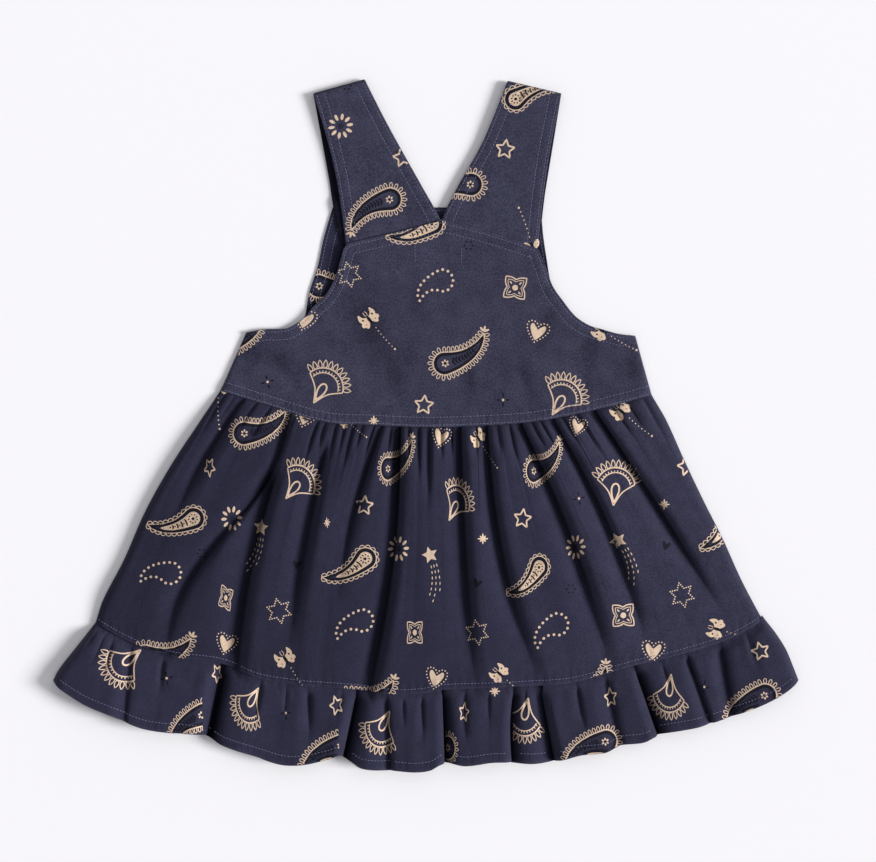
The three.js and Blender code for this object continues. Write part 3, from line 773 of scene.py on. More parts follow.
def row_shares(
    length: float, near_top: tuple[float, ...], near_bottom: tuple[float, ...], step: float
) -> Field:
    """Share of the way down for each row of a panel.

    Args:
        length: usual length of the panel.
        near_top: distances of the rows close to the top.
        near_bottom: distances of the rows close to the bottom, from the bottom.
        step: usual distance between the other rows.

    Returns:
        The shares, from 0 to 1.
    """
    first, last = near_top[-1], length - near_bottom[-1]
    middle = np.linspace(first, last, max(2, round((last - first) / step) + 1))[1:-1]
    down = np.concatenate([near_top, middle, length - np.asarray(near_bottom[::-1])])
    return down / length


@dataclass
class GatheredPanel:
    """A panel gathered into its upper seam, with fold lines down to its lower edge."""

    name: str
    upper: Curve
    lower: Curve
    left: Curve
    right: Curve
    corners: tuple[float, float, float, float]
    folds: tuple[Fold, ...]
    ridges: tuple[Fold, ...]
    columns: int
    shares: Field
    widening: float
    thickness: float = 0.7
    seed: int = 1
    # How dark the painted shade in the folds gets, how much paler it is painted towards the lower edge, and
    # how much lighter the lit side is painted
    darkest: float = 0.94
    paler: float = 0.35
    lit: float = 0.2

    # How the columns crowd at the folds, and the shape of a fold's trough and of its leaning crest
    CROWDING = 0.6
    NARROWEST = 0.75
    START_REACH = 0.1
    END_REACH = 0.45
    END_SHARE = 0.6
    BLUNT = 0.03
    ROUNDNESS = 0.72
    POINTED = math.exp(BLUNT**ROUNDNESS)
    DARK_SIDE = 0.55
    STEEP = 0.8
    CREST_ASIDE = 1.6
    CREST_WIDTH = 1.5
    LEAN_DEPTH = 5
    # The shade in a fold
    SHALLOWEST = 0.9
    DEEPEST = 6.4
    FALLOFF = 1.35
    SHADE_CRISP = 0.42
    SHADE_SOFT = 0.8
    SHADE_WEDGE = 1.3
    # Fine wrinkles, as how many lie across, their height and how fast they die away downwards
    WRINKLES = ((150, 0.28, 8.0), (83, 0.34, 5.0), (41, 0.34, 2.6), (17, 0.46, 0.5))

    def seam_height(self, x: Field) -> Field:
        """Y of the top of the panel, tucked under the piece above it."""
        return self.upper(x) + SEAM_TUCK

    def fold_x(self, fold: Fold, share: Field) -> Field:
        """X of a fold's line at a share of the way down."""
        straight = fold.top + (fold.bottom - fold.top) * share
        return straight + fold.bow * np.sin(np.pi * share) + fold.sway * np.sin(2 * np.pi * share)

    def plan(self) -> tuple[Field, Field]:
        """Lay out the grid in plan.

        Returns:
            X and Y of its points, with columns along the fold lines and closest at the folds.
        """
        top_left, bottom_left, top_right, bottom_right = self.corners
        tops = np.array([top_left, *(fold.top for fold in self.folds), top_right])
        bottoms = np.array([bottom_left, *(fold.bottom for fold in self.folds), bottom_right])
        widths = (np.diff(tops) + np.diff(bottoms)) / 2
        steps = []
        for width in widths:
            count = max(4, round(self.columns * width / widths.sum()))
            t = np.arange(count) / count
            steps.append(t - self.CROWDING * np.sin(2 * np.pi * t) / (2 * np.pi))

        def filled(lines: Field) -> Field:
            """Fill in the columns between the lines of the folds."""
            parts = [
                lines[..., i, None] + (lines[..., i + 1] - lines[..., i])[..., None] * t
                for i, t in enumerate(steps)
            ]
            return np.concatenate([*parts, lines[..., -1:]], axis=-1)

        down = self.shares[:, None]
        seams, hems = self.seam_height(tops), self.lower(bottoms)
        heights = seams + (hems - seams) * down
        inner = [self.fold_x(fold, self.shares) for fold in self.folds]
        x = filled(zipped(self.left(heights[:, 0]), *inner, self.right(heights[:, -1])))
        seam, hem = self.seam_height(filled(tops)), self.lower(filled(bottoms))
        y = seam + (hem - seam) * down
        return x, y

    def fold_depth(
        self, folds: tuple[Fold, ...], x: Field, y: Field, shade: bool = False
    ) -> tuple[Field, Field]:
        """Add up the folds at each point.

        Args:
            folds: the folds.
            x: X of the points.
            y: Y of the points.
            shade: whether to give the spread of each fold's painted shade, crisp on one side, in place of
                its form.

        Returns:
            The depth of the folds, and how far they lean sideways.
        """
        depth, lean = np.zeros_like(x), np.zeros_like(x)
        for fold in folds:
            seam, hem = self.seam_height(np.float64(fold.top)), self.lower(np.float64(fold.bottom))
            share = np.clip((seam - y) / (seam - hem), 0, 1)
            start = 1.0 if fold.start == 0 else eased(share - fold.start, self.START_REACH)
            reach = min(self.END_REACH, fold.end * self.END_SHARE)
            end = 1.0 if fold.end == 1 else eased(fold.end - share, reach)
            grown = self.NARROWEST + self.widening * np.sqrt(share)
            left, right = fold.left, fold.right
            aside = x - self.fold_x(fold, share)
            if shade and right < left:
                left, right = left * self.SHADE_SOFT, right * self.SHADE_CRISP
            elif shade:
                aside = aside - self.SHADE_CRISP * left * grown
                left, right = left * self.SHADE_CRISP, right * self.SHADE_WEDGE
            elif fold.depth > 0 and right < left:
                right = right * self.STEEP
                aside = aside + self.DARK_SIDE * right * grown
            width = np.where(aside < 0, left, right) * grown
            run = fold.depth * start * end * (1 - self.paler * share if shade else 1)
            trough = ((aside / width) ** 2 + self.BLUNT) ** self.ROUNDNESS
            depth += run * self.POINTED * np.exp(-trough)
            if fold.lean:
                crest = aside + math.copysign(self.CREST_ASIDE, fold.lean)
                lean += fold.lean * run / self.LEAN_DEPTH * bell(crest, self.CREST_WIDTH)
        return depth, lean

    def crease(self, x: Field, y: Field) -> Field:
        """How much painted shade each point gets in the folds, from 0 to 1."""
        valleys, _ = self.fold_depth(self.folds, x, y, shade=True)
        share = np.clip((valleys - self.SHALLOWEST) / self.DEEPEST, 0, 1)
        return self.darkest * share**self.FALLOFF

    def wrinkles(self, x: Field) -> Field:
        """Fine creases along the gathers, strongest at the seam."""
        random = np.random.default_rng(self.seed)
        across = np.linspace(0, 1, x.shape[1])[None, :]
        down = self.shares[:, None]
        result = np.zeros_like(x)
        for count, height, fades in self.WRINKLES:
            phase = random.uniform(0, 2 * np.pi, 4)
            wander = 0.9 * np.sin(2.4 * np.pi * down + phase[0])
            wander = wander + 0.7 * np.sin(5.1 * np.pi * across + phase[1])
            swell = np.sin(7.3 * np.pi * across + phase[2]) * np.sin(3.1 * np.pi * down + phase[3])
            wave = np.sin(2 * np.pi * count * across + wander)
            result += height * (0.6 + 0.4 * swell) * np.exp(-fades * down) * wave
        return result


class SkirtBack(GatheredPanel):
    """The back of the skirt, lofted between its sides over the front."""

    LOFT = 8.6
    EDGE_TOP = 0.68
    # How much less it rises at its hem and at its sides
    HEM_LOFT = 0.62
    SIDE_LOFT = 0.48
    DOME_REACH = 200
    # Painted shade over the part left of a line, where the skirt lies lower
    PAINTED_LEFT_SHADE = 0.18
    LEFT_SHADE_LINE = 80
    LEFT_SHADE_REACH = 120
    # The puckers of its hem seam
    PUCKER = 0.22
    PUCKER_PITCH = 6.3

    def crease(self, x: Field, y: Field) -> Field:
        """How much painted shade each point gets, from the folds and over the left, where the skirt lies
        lower.
        """
        left_shade = self.PAINTED_LEFT_SHADE * eased(self.LEFT_SHADE_LINE - x, self.LEFT_SHADE_REACH)
        return 1 - (1 - super().crease(x, y)) * (1 - left_shade)

    def middle(self, x: Field, y: Field) -> tuple[Field, Field]:
        """Shape the skirt.

        Args:
            x: X of the points.
            y: Y of the points.

        Returns:
            Height of the middle surface, and how far the folds lean sideways.
        """
        below_waist = waist(x) - y
        above_hem = y - skirt_hem(x)
        inside = np.minimum(x - skirt_left(y), skirt_right(y) - x)
        lowest = level(1) + LAYER * (1 - eased(above_hem - 5, 12))
        spread = rounded(inside, 8) * rounded(below_waist - 0.5, 18)
        spread = spread * (self.HEM_LOFT + (1 - self.HEM_LOFT) * eased(above_hem, 34))
        across = np.sin(np.pi * np.clip(inside / self.DOME_REACH, 0, 0.5))
        loft = self.LOFT * spread * (self.SIDE_LOFT + (1 - self.SIDE_LOFT) * across)
        valleys, lean = self.fold_depth(self.folds, x, y)
        ridges, _ = self.fold_depth(self.ridges, x, y)
        near_seam = eased(below_waist + 1.0, 5)
        relief = (valleys + ridges * eased(below_waist - 4, 20)) * near_seam
        relief = relief * (0.7 + 0.3 * eased(above_hem, 20))
        fine = self.wrinkles(x) * spread if x.shape[0] == len(self.shares) else 0.0
        puckers = np.sin(2 * np.pi * x / self.PUCKER_PITCH + 1.4 * np.sin(x / 17)) * bell(above_hem - 3, 6)
        raised = np.maximum(loft, lowest - level(1) + 0.25 * loft)
        height = softly_over(level(1) + raised - relief + fine, lowest, 0.9)
        height = height + self.PUCKER * puckers * eased(above_hem, 2)
        curl = rounded(inside, 5)
        return self.EDGE_TOP + (height - self.EDGE_TOP) * curl, lean * eased(above_hem, 8) * near_seam


@dataclass
class RuffleBack(GatheredPanel):
    """The back of the ruffle, gathered under the skirt and waving at its stitched hem."""

    skirt: SkirtBack | None = None
    skirt_span: Pair = (-226.0, 230.0)

    LOFT_AT_SEAM = 4.4
    LOFT_AT_HEM = 8.0
    LOWEST = level(0.95)
    EDGE_TOP = 0.68
    UNDER_SKIRT = 1.2
    LEFT_END_LIFT = 2.6
    # The turned hem, with its groove of stitches and the puckers between them
    HEM_WIDTH = 6.4
    HEM_STEP = 0.28
    GROOVE = 0.22
    PUCKER = 0.1
    PUCKER_PITCH = 4.6

    def middle(self, x: Field, y: Field) -> tuple[Field, Field]:
        """Shape the ruffle.

        Args:
            x: X of the points.
            y: Y of the points.

        Returns:
            Height of the middle surface, and how far the folds lean sideways.
        """
        below_seam = skirt_hem(x) - y
        above_hem = y - ruffle_hem(x)
        inside = np.minimum(x - ruffle_left(y), ruffle_right(y) - x)
        share = np.clip(below_seam / (below_seam + above_hem), 0, 1)
        full = self.LOFT_AT_SEAM + (self.LOFT_AT_HEM - self.LOFT_AT_SEAM) * share
        full = full + self.LEFT_END_LIFT * bell(x - self.skirt_span[0], 28)
        spread = rounded(inside, 10)
        valleys, lean = self.fold_depth(self.folds, x, y)
        ridges, _ = self.fold_depth(self.ridges, x, y)
        near_seam = eased(below_seam - 0.5, 5)
        relief = valleys + ridges * eased(below_seam - 3, 14)
        fine = self.wrinkles(x) * spread
        height = softly_over(level(1) + full * spread - relief + fine, self.LOWEST, 0.8)
        under = np.clip(x, *self.skirt_span)
        seam, _ = self.skirt.middle(under, skirt_hem(under) + 0.8)
        seam = np.maximum(seam - self.UNDER_SKIRT, self.LOWEST) - 0.5 * fine
        height = seam + (height - seam) * eased(below_seam - 0.3, 9)
        from_turn = above_hem - self.HEM_WIDTH
        hem = self.HEM_STEP * eased(0.4 - from_turn, 0.8) - self.GROOVE * bell(from_turn + 0.4, 0.7)
        puckers = np.sin(2 * np.pi * x / self.PUCKER_PITCH + np.sin(x / 9)) * bell(above_hem - 4.5, 3.2)
        height = height + hem + self.PUCKER * puckers
        return self.EDGE_TOP + (height - self.EDGE_TOP) * rounded(inside, 5), lean * near_seam


@dataclass(frozen=True)
class Dent:
    """A soft dip in the yoke, with shade painted in it: its place, half width, half length, tilt in degrees
    and shade.
    """

    x: float
    y: float
    width: float
    length: float
    tilt: float
    shade: float


YOKE_DENTS: tuple[Dent, ...] = (
    Dent(-41, 70, 12, 26, 24, 0.45),
    Dent(-22, 36, 8, 15, 16, 0.3),
    Dent(-102, 44, 7, 15, 62, 0.3),
    Dent(-125, 51, 6, 9, 60, 0.33),
    Dent(-8, 84, 7, 24, 4, 0.15),
    Dent(30, 33, 4, 15, 8, 0.3),
    Dent(70, 30, 4.5, 14, 20, 0.33),
    Dent(82, 67, 4.5, 13, -8, 0.27),
    Dent(114, 53, 9, 8, -30, 0.3),
    Dent(143, 42, 7, 11, -10, 0.33),
    Dent(104, 96, 9, 22, 32, 0.21),
)


@dataclass
class BackBodice:
    """The back yoke in double cloth: an arched top edge, two armholes and the waist seam."""

    name: str = "back_bodice"
    thickness: float = 1.0
    fullness: float = 0.7
    edge_rows: Pair = EDGE_ROWS
    waist_rows: Pair = (1.3, 6.8)
    dents: tuple[Dent, ...] = YOKE_DENTS

    WAIST_ENDS = (-143.4, 157.8)
    PAINTED_LIGHT = 0.62
    EDGE_TOP = 1.6
    DENT_DEPTH = 2.0
    # Grooves of the stitch rows, and the ripples and gathers between them
    EDGE_GROOVE = 0.2
    WAIST_GROOVE = 0.22
    RIPPLE = 0.075
    RIPPLE_PITCH = 4.9
    GATHER = 0.3
    GATHER_PITCH = 4.3

    def dented(self, x: Field, y: Field) -> Field:
        """Add up the dents.

        Args:
            x: X of the points.
            y: Y of the points.

        Returns:
            How deep in a soft dip each point lies, which is also the shade painted there.
        """
        total = np.zeros_like(x)
        for dent in self.dents:
            tilt = math.radians(dent.tilt)
            across = (x - dent.x) * math.cos(tilt) + (y - dent.y) * math.sin(tilt)
            along = (y - dent.y) * math.cos(tilt) - (x - dent.x) * math.sin(tilt)
            total += dent.shade * bell(across, dent.width) * bell(along, dent.length)
        return total

    def top_edge(self) -> Field:
        """The top edge from the left underarm over the arch to the right underarm."""
        return np.concatenate([
            spaced(smooth_line(LEFT_ARMHOLE), 74), spaced(smooth_line(ARCH), 118)[1:],
            spaced(smooth_line(RIGHT_ARMHOLE), 74)[1:],
        ])

    def waist_under(self, x: Field) -> Field:
        """X at the waist below a point of the top edge."""
        left, right = self.WAIST_ENDS
        return left + (right - left) * (x - UNDERARM_LEFT[0]) / (UNDERARM_RIGHT[0] - UNDERARM_LEFT[0])

    def middle(self, x: Field, y: Field, edge: Field) -> tuple[Field, Field]:
        """Shape the yoke.

        Args:
            x: X of the points.
            y: Y of the points.
            edge: the top edge.

        Returns:
            Height of the middle surface, and how much paler the cloth is, from painted light and worn
            edges.
        """
        below_arch = arch_height(x) - y
        beside = np.maximum(np.maximum(STRAP_CORNER_LEFT[0] - x, x - STRAP_CORNER_RIGHT[0]), 0)
        on_straps = (1 - eased(below_arch - 12, 26)) * (1 - eased(beside, 14))
        above_waist = y - waist(x)
        on_skirt = 1 - eased(above_waist - 5, 10)
        rest = np.maximum.reduce([np.full_like(x, self.fullness / LAYER), 2 * on_straps, on_skirt])
        height = level(1) + rest * LAYER
        points = np.stack([x, y], axis=-1).reshape(-1, 1, 2)
        gaps = norm(points - edge[None], axis=2)
        nearest = gaps.argmin(axis=1)
        from_edge = gaps.min(axis=1).reshape(x.shape)
        along = (nearest * 1.2).reshape(x.shape)
        side = np.minimum(*(np.hypot(x - at[0], y - at[1]) for at in (UNDERARM_LEFT, UNDERARM_RIGHT)))
        for at in self.edge_rows:
            height = height - self.EDGE_GROOVE * bell(from_edge - at, 0.65)
        for at in self.waist_rows:
            height = height - self.WAIST_GROOVE * bell(above_waist - at, 0.7)
        height = height + 0.16 * bell(from_edge - 4.9, 2.0) + 0.22 * bell(above_waist - 4.0, 2.2)
        ripple = np.sin(2 * np.pi * along / self.RIPPLE_PITCH + 1.3 * np.sin(along / 11))
        height = height + self.RIPPLE * ripple * bell(from_edge - 5.5, 4.5) * eased(side, 12)
        gather = np.sin(2 * np.pi * x / self.GATHER_PITCH + 1.8 * np.sin(x / 13))
        gather = gather * (0.7 + 0.3 * np.sin(x / 5.1)) * bell(above_waist - 4.2, 3.4)
        height = height + self.GATHER * gather
        for crease in BODICE_CREASES:
            height = height - crease.at(x, y)
        share = np.clip(above_waist / 44, 0, 1)
        left, right = self.WAIST_ENDS
        left_side = left + share * (UNDERARM_LEFT[0] - left)
        right_side = right + share * (UNDERARM_RIGHT[0] - right)
        inside = np.minimum(x - left_side, right_side - x)
        curl = np.where(above_waist < 46, rounded(inside, 7), 1.0)
        # Painted light: the whole yoke is painted a little lighter, and its edges and waist seam are worn
        # paler
        fade = self.PAINTED_LIGHT + 0.4 * bell(from_edge, 1.1) + 0.3 * bell(above_waist - 0.4, 1.2)
        return self.EDGE_TOP + (height - self.EDGE_TOP) * curl, fade

    def build(self) -> Piece:
        """Build the yoke's shell."""
        edge = self.top_edge()
        under = self.waist_under(edge[:, 0])
        foot = waist(under)
        shares = row_shares(130, (0, 0.3, 0.8, 1.6), (0, 0.3, 0.8, 1.6), 1.22)[:, None]
        x = edge[:, 0] + (under - edge[:, 0]) * shares
        y = edge[:, 1] + (foot - edge[:, 1]) * shares
        height, fade = self.middle(x, y, edge)
        dents = self.dented(x, y)
        sunk = self.DENT_DEPTH * dents * rounded(height - self.EDGE_TOP, 2)
        points = np.stack([x, y, height - sunk], axis=-1)
        # The dents are also painted as shade on the cloth
        return Shell(self.thickness).build(f"{self.name}_cloth", points, fade, dents)


@dataclass
class FlatPanel:
    """A front panel that lies flat under the back, with low gathers on its underside."""

    name: str
    tops: Field
    bottoms: Field
    left: Callable[[Field], Field] | None
    right: Callable[[Field], Field] | None
    shares: Field
    gather: float
    thickness: float = 0.62
    lift: float = 0.42
    shaded_by: Field | None = None

    INSET = 0.15
    SHADE = 0.7
    SHADE_REACH = 3.4
    GATHER_HEIGHT = 0.12
    GATHERS = 29
    FINE_GATHERS = 67

    def build(self) -> Piece:
        """Build the panel's shell."""
        shares = self.shares[:, None]
        x = self.tops[:, 0] + (self.bottoms[:, 0] - self.tops[:, 0]) * shares
        y = self.tops[:, 1] + (self.bottoms[:, 1] - self.tops[:, 1]) * shares
        if self.left is not None and self.right is not None:
            x[:, 0] = self.left(y[:, 0]) + self.INSET
            x[:, -1] = self.right(y[:, -1]) - self.INSET
        across = np.linspace(0, 1, x.shape[1])[None, :]
        swing = np.sin(2 * np.pi * self.GATHERS * across + 2.1 * np.sin(9 * across) + 0.8 * shares)
        finer = np.sin(2 * np.pi * self.FINE_GATHERS * across + 1.7 * np.sin(23 * across))
        relief = 0.6 * swing * (0.4 + 0.6 * np.exp(-2 * shares)) + 0.4 * finer * np.exp(-6 * shares)
        height = self.lift + self.GATHER_HEIGHT * self.gather * relief
        crease = np.zeros_like(x)
        # Painted shadow of the back yoke's edge on the bib
        if self.shaded_by is not None:
            points = np.stack([x, y], axis=-1).reshape(-1, 1, 2)
            gaps = norm(points - self.shaded_by[None], axis=2).min(axis=1)
            crease = self.SHADE * bell(gaps.reshape(x.shape), self.SHADE_REACH)
        points = np.stack([x, y, height], axis=-1)
        return Shell(self.thickness).build(f"{self.name}_cloth", points, 0.0, crease)


@dataclass
class Strap:
    """A self-lined band from under the arch, over the shoulder fold, down on to the bib."""

    name: str
    back: tuple[Rows, Rows]
    front: tuple[Rows, Rows]
    thickness: float = 1.0
    columns: int = 46
    shoulder: float = level(2.4)
    in_shade: float = 0.82

    BACK_ROWS = 86
    FRONT_ROWS = 76
    TURN_ROWS = 12
    PAINTED_LIGHT = 0.62
    RELIEF = 0.8
    GROOVE = 0.2
    RIPPLE = 0.05
    RIPPLE_PITCH = 4.8

    def edges(self, rows: tuple[Rows, Rows], count: int) -> tuple[Field, Field]:
        """Read the two edges of a run of the band.

        Args:
            rows: points of its left and its right edge.
            count: steps from its upper to its lower end.

        Returns:
            Points down each edge.
        """
        steps = np.linspace(0, 1, count + 1)
        dense = [smooth_line(side) for side in rows]
        at = [np.linspace(0, 1, len(line)) for line in dense]
        return tuple(
            np.stack([np.interp(steps, at[k], dense[k][:, axis]) for axis in range(2)], axis=1)
            for k in range(2)
        )

    def build(self) -> Piece:
        """Build the strap's shell."""
        back_left, back_right = self.edges(self.back, self.BACK_ROWS)
        front_left, front_right = self.edges(self.front, self.FRONT_ROWS)
        share = np.linspace(0, 1, self.BACK_ROWS + 1)[:-1]
        radius = (self.shoulder - level(0)) / 2
        along = back_right[-1] - back_left[-1]
        along /= norm(along)
        outward = np.array([-along[1], along[0]])
        angle = np.linspace(0, np.pi, self.TURN_ROWS + 1)
        out = (radius * (np.sin(angle) - 1) - self.thickness / 2)[:, None] * outward
        rise = level(2) + (self.shoulder - level(2)) * eased(share - 0.6, 0.4)
        on_bib = eased(BIB_TOP + 10 - front_left[1:, 1], 8)
        left, right, height = (np.concatenate(runs) for runs in zip(
            (back_left[:-1], back_right[:-1], rise),
            (back_left[-1] + out, back_right[-1] + out, level(0) + radius * (1 + np.cos(angle))),
            (front_left[1:], front_right[1:], level(0) + LAYER * on_bib),
        ))
        even = np.arange(self.columns + 1) / self.columns
        t = 0.45 * (0.5 - 0.5 * np.cos(np.pi * even)) + 0.55 * even
        flat = left[:, None] + (right - left)[:, None] * t[None, :, None]
        z = np.repeat(height[:, None], self.columns + 1, axis=1)
        width = norm(right - left, axis=1)[:, None]
        from_edge = width * np.minimum(t, 1 - t)[None]
        turned = 1.0 - 2.0 * (np.arange(len(left)) > self.BACK_ROWS + self.TURN_ROWS / 2)[:, None]
        run = np.cumsum(np.r_[0, norm(np.diff(left, axis=0), axis=1)])[:, None]
        ripple = np.sin(2 * np.pi * run / self.RIPPLE_PITCH + np.sin(run / 8))
        relief = -self.GROOVE * sum(bell(from_edge - at, 0.6) for at in EDGE_ROWS)
        relief = relief + 0.12 * bell(from_edge - 4.9, 1.8) + self.RIPPLE * ripple * bell(from_edge - 5, 4)
        relief = relief + 0.1 * np.sin(run / 17 + 3 * t[None]) * np.sin(np.pi * t[None])
        z = z + self.RELIEF * relief * turned
        grid = np.concatenate([flat, z[:, :, None]], axis=2)[::-1]
        # Painted light over the whole strap, with its edges worn paler, and painted shade on the inner face
        # of the run that lies under the back run
        fade = (self.PAINTED_LIGHT + 0.4 * bell(from_edge, 1.0))[::-1]
        crease = (self.in_shade * (turned < 0) * np.ones_like(from_edge))[::-1]
        return Shell(self.thickness).build(f"{self.name}_cloth", grid, fade, crease, painted_shade_inside=True)


class Surface:
    """The outer faces of a piece of cloth, for laying print and thread on them."""

    FAR = 60.0

    def __init__(self, piece: Piece) -> None:
        """Read the faces of a piece."""
        mesh = piece.data
        points = np.empty(len(mesh.vertices) * 3)
        mesh.vertices.foreach_get("co", points)
        corners = np.empty(len(mesh.loops), int)
        mesh.loops.foreach_get("vertex_index", corners)
        self.tree = BVHTree.FromPolygons(
            (points.reshape(-1, 3) / MM).tolist(), corners.reshape(-1, 4).tolist(), all_triangles=False
        )

    def heights(self, plan: Field, underside: bool = False) -> Field:
        """Drop points on to the cloth.

        Args:
            plan: X and Y of the points.
            underside: whether to come from below.

        Returns:
            The height of each point, or no number where it misses.
        """
        start = -self.FAR if underside else self.FAR
        ahead = Vector((0, 0, -math.copysign(1, start)))
        hits = (self.tree.ray_cast(Vector((x, y, start)), ahead)[0] for x, y in plan.tolist())
        return np.array([math.nan if hit is None else hit.z for hit in hits])


@dataclass
class Topstitching:
    """Rows of topstitches laid on one piece."""

    name: str
    surface: Surface
    underside: bool = False
    pitch: float = 2.35
    length: float = 1.85
    radius: float = 0.2
    rows: list[Field] = field(default_factory=list)

    STATIONS = np.array([0.0, 0.14, 0.5, 0.86, 1.0])
    ROUND = np.array([0.0, 0.85, 1.0, 0.85, 0.0])
    LIFT = np.array([-0.12, 0.04, 0.1, 0.04, -0.12])
    SIDES = 5
    HIGHEST_STEP = 1.4

    def add(self, line: Field) -> None:
        """Add a row of stitches along a line."""
        count = max(1, round(line_length(line) / self.pitch))
        knots = spaced(line, count)
        starts, steps = knots[:-1], np.diff(knots, axis=0)
        share = self.length / self.pitch
        at = (1 - share) / 2 + share * self.STATIONS
        self.rows.append(starts[:, None] + steps[:, None] * at[None, :, None])

    def build(self, material: Material) -> Piece:
        """Build all the rows as one object."""
        plan = np.concatenate(self.rows)
        count = len(plan)
        height = self.surface.heights(plan.reshape(-1, 2), self.underside).reshape(count, -1)
        facing = -1.0 if self.underside else 1.0
        centres = np.concatenate([plan, (height + facing * self.LIFT)[:, :, None]], axis=2)
        whole = ~np.isnan(height).any(axis=1) & (np.ptp(height, axis=1) < self.HIGHEST_STEP)
        centres = centres[whole]
        along = centres[:, -1] - centres[:, 0]
        along /= norm(along, axis=1)[:, None]
        side = np.cross(along, (0, 0, 1.0))
        side /= norm(side, axis=1)[:, None]
        over = np.cross(side, along)
        angle = 2 * np.pi * np.arange(self.SIDES) / self.SIDES
        turn = angle[None, :, None]
        ring = side[:, None] * np.cos(turn) + over[:, None] * np.sin(turn)
        rings = centres[:, 1:4, None] + ring[:, None] * (self.radius * self.ROUND[1:4])[None, :, None, None]
        block = 2 + 3 * self.SIDES
        points = [centres[:, :1], rings.reshape(len(centres), -1, 3), centres[:, -1:]]
        points = np.concatenate(points, axis=1)
        faces = []
        for k in range(self.SIDES):
            n = (k + 1) % self.SIDES
            faces.append((0, 1 + n, 1 + k))
            for r in range(2):
                a, b = 1 + r * self.SIDES, 1 + (r + 1) * self.SIDES
                faces += [(a + k, a + n, b + n), (a + k, b + n, b + k)]
            last = 1 + 2 * self.SIDES
            faces.append((block - 1, last + k, last + n))
        template = np.asarray(faces)
        triangles = (template[None] + block * np.arange(len(centres))[:, None, None]).reshape(-1, 3)
        LOG.info("%s: %d stitches", self.name, len(centres))
        return linked(self.name, points.reshape(-1, 3), triangles, material)


class Tone(Enum):
    """Tones of the print."""

    CREAM = auto()
    DARK = auto()


CREAM, DARK = Tone


class Drawing:
    """Flat shapes of one motif, in millimetres about its own centre."""

    STEP = 0.9
    RING_STEP = 1.2

    def __init__(self) -> None:
        """Start empty."""
        self.parts: list[tuple[Tone, float, Field, Field]] = []

    def stroke(
        self, tone: Tone, line: Field, width: float, closed: bool = False, raise_by: float = 0.0
    ) -> None:
        """Draw a line of even width.

        Args:
            tone: its tone.
            line: its points.
            width: its width.
            closed: whether it comes back to its start.
            raise_by: how far it lies above other ink.
        """
        if closed:
            line = np.concatenate([line, line[:1]])
        count = max(3, round(line_length(line) / self.STEP))
        line = spaced(line, count)
        if closed:
            line = line[:-1]
            along = np.roll(line, -1, axis=0) - np.roll(line, 1, axis=0)
        else:
            along = np.gradient(line, axis=0)
        along = along / np.maximum(norm(along, axis=1), 1e-9)[:, None]
        aside = zipped(-along[:, 1], along[:, 0]) * width / 2
        n = len(line)
        i = np.arange(n if closed else n - 1)
        j = (i + 1) % n
        faces = np.concatenate([zipped(i, j + n, i + n), zipped(i, j, j + n)])
        self.parts.append((tone, raise_by, np.concatenate([line - aside, line + aside]), faces))

    def fill(self, tone: Tone, outline: Field, raise_by: float = 0.0) -> None:
        """Fill an outline that can be seen whole from its middle."""
        middle = outline.mean(axis=0)
        closed = np.concatenate([outline, outline[:1]])
        count = max(6, round(line_length(closed) / self.STEP))
        edge = spaced(closed, count)[:-1]
        reach = norm(edge - middle, axis=1).max()
        rings = max(1, round(reach / self.RING_STEP))
        shares = np.arange(rings, 0, -1) / rings
        points = np.concatenate([middle + (edge - middle) * share for share in shares] + [middle[None]])
        i = np.arange(count)
        j = (i + 1) % count
        inner = (rings - 1) * count
        faces = [zipped(i + inner, j + inner, np.full(count, rings * count))]
        for r in range(rings - 1):
            a, b = r * count, (r + 1) * count
            faces += [zipped(i + a, j + a, j + b), zipped(i + a, j + b, i + b)]
        self.parts.append((tone, raise_by, points, np.concatenate(faces)))

    def dot(self, tone: Tone, at: Field, radius: float, raise_by: float = 0.0) -> None:
        """Draw a round dot."""
        self.fill(tone, np.asarray(at, float) + oval(radius, radius, 9), raise_by)

    def petal(
        self, tone: Tone, at: Field, direction: float, length: float, width: float, raise_by: float = 0.0
    ) -> None:
        """Draw an oval petal.

        Args:
            tone: its tone.
            at: its inner end.
            direction: the way it points, in radians.
            length: its length.
            width: its width.
            raise_by: how far it lies above other ink.
        """
        shape = turned(oval(length / 2, width / 2, 14) + (length / 2, 0), direction)
        self.fill(tone, shape + np.asarray(at, float), raise_by)

    def loop(
        self, tone: Tone, at: Field, direction: float, length: float, width: float, line: float
    ) -> None:
        """Draw a petal as an outline."""
        shape = turned(oval(length / 2, width / 2, 12) + (length / 2, 0), direction)
        self.stroke(tone, shape + np.asarray(at, float), line, closed=True)

    def petals(
        self, tone: Tone, count: int, radius: float, length: float, width: float,
        centre: Field | float = 0.0,
    ) -> None:
        """Draw petals in a ring, each pointing outwards from a radius."""
        for k in range(count):
            way = k * math.tau / count
            self.petal(tone, centre + turned([(radius, 0)], way)[0], way, length, width)

    def dots(
        self, tone: Tone, count: int, radius: float, size: float, centre: Field | float = 0.0,
        raise_by: float = 0.0,
    ) -> None:
        """Draw dots in a ring."""
        for k in range(count):
            self.dot(tone, centre + turned([(radius, 0)], k * math.tau / count)[0], size, raise_by)


def oval(half_length: float, half_width: float, count: int) -> Field:
    """Points round an oval."""
    a = 2 * np.pi * np.arange(count) / count
    return zipped(half_length * np.cos(a), half_width * np.sin(a))


def turned(points: Field, angle: float) -> Field:
    """Turn points about the origin by an angle in radians."""
    c, s = math.cos(angle), math.sin(angle)
    return np.asarray(points, float) @ np.array([[c, s], [-s, c]])


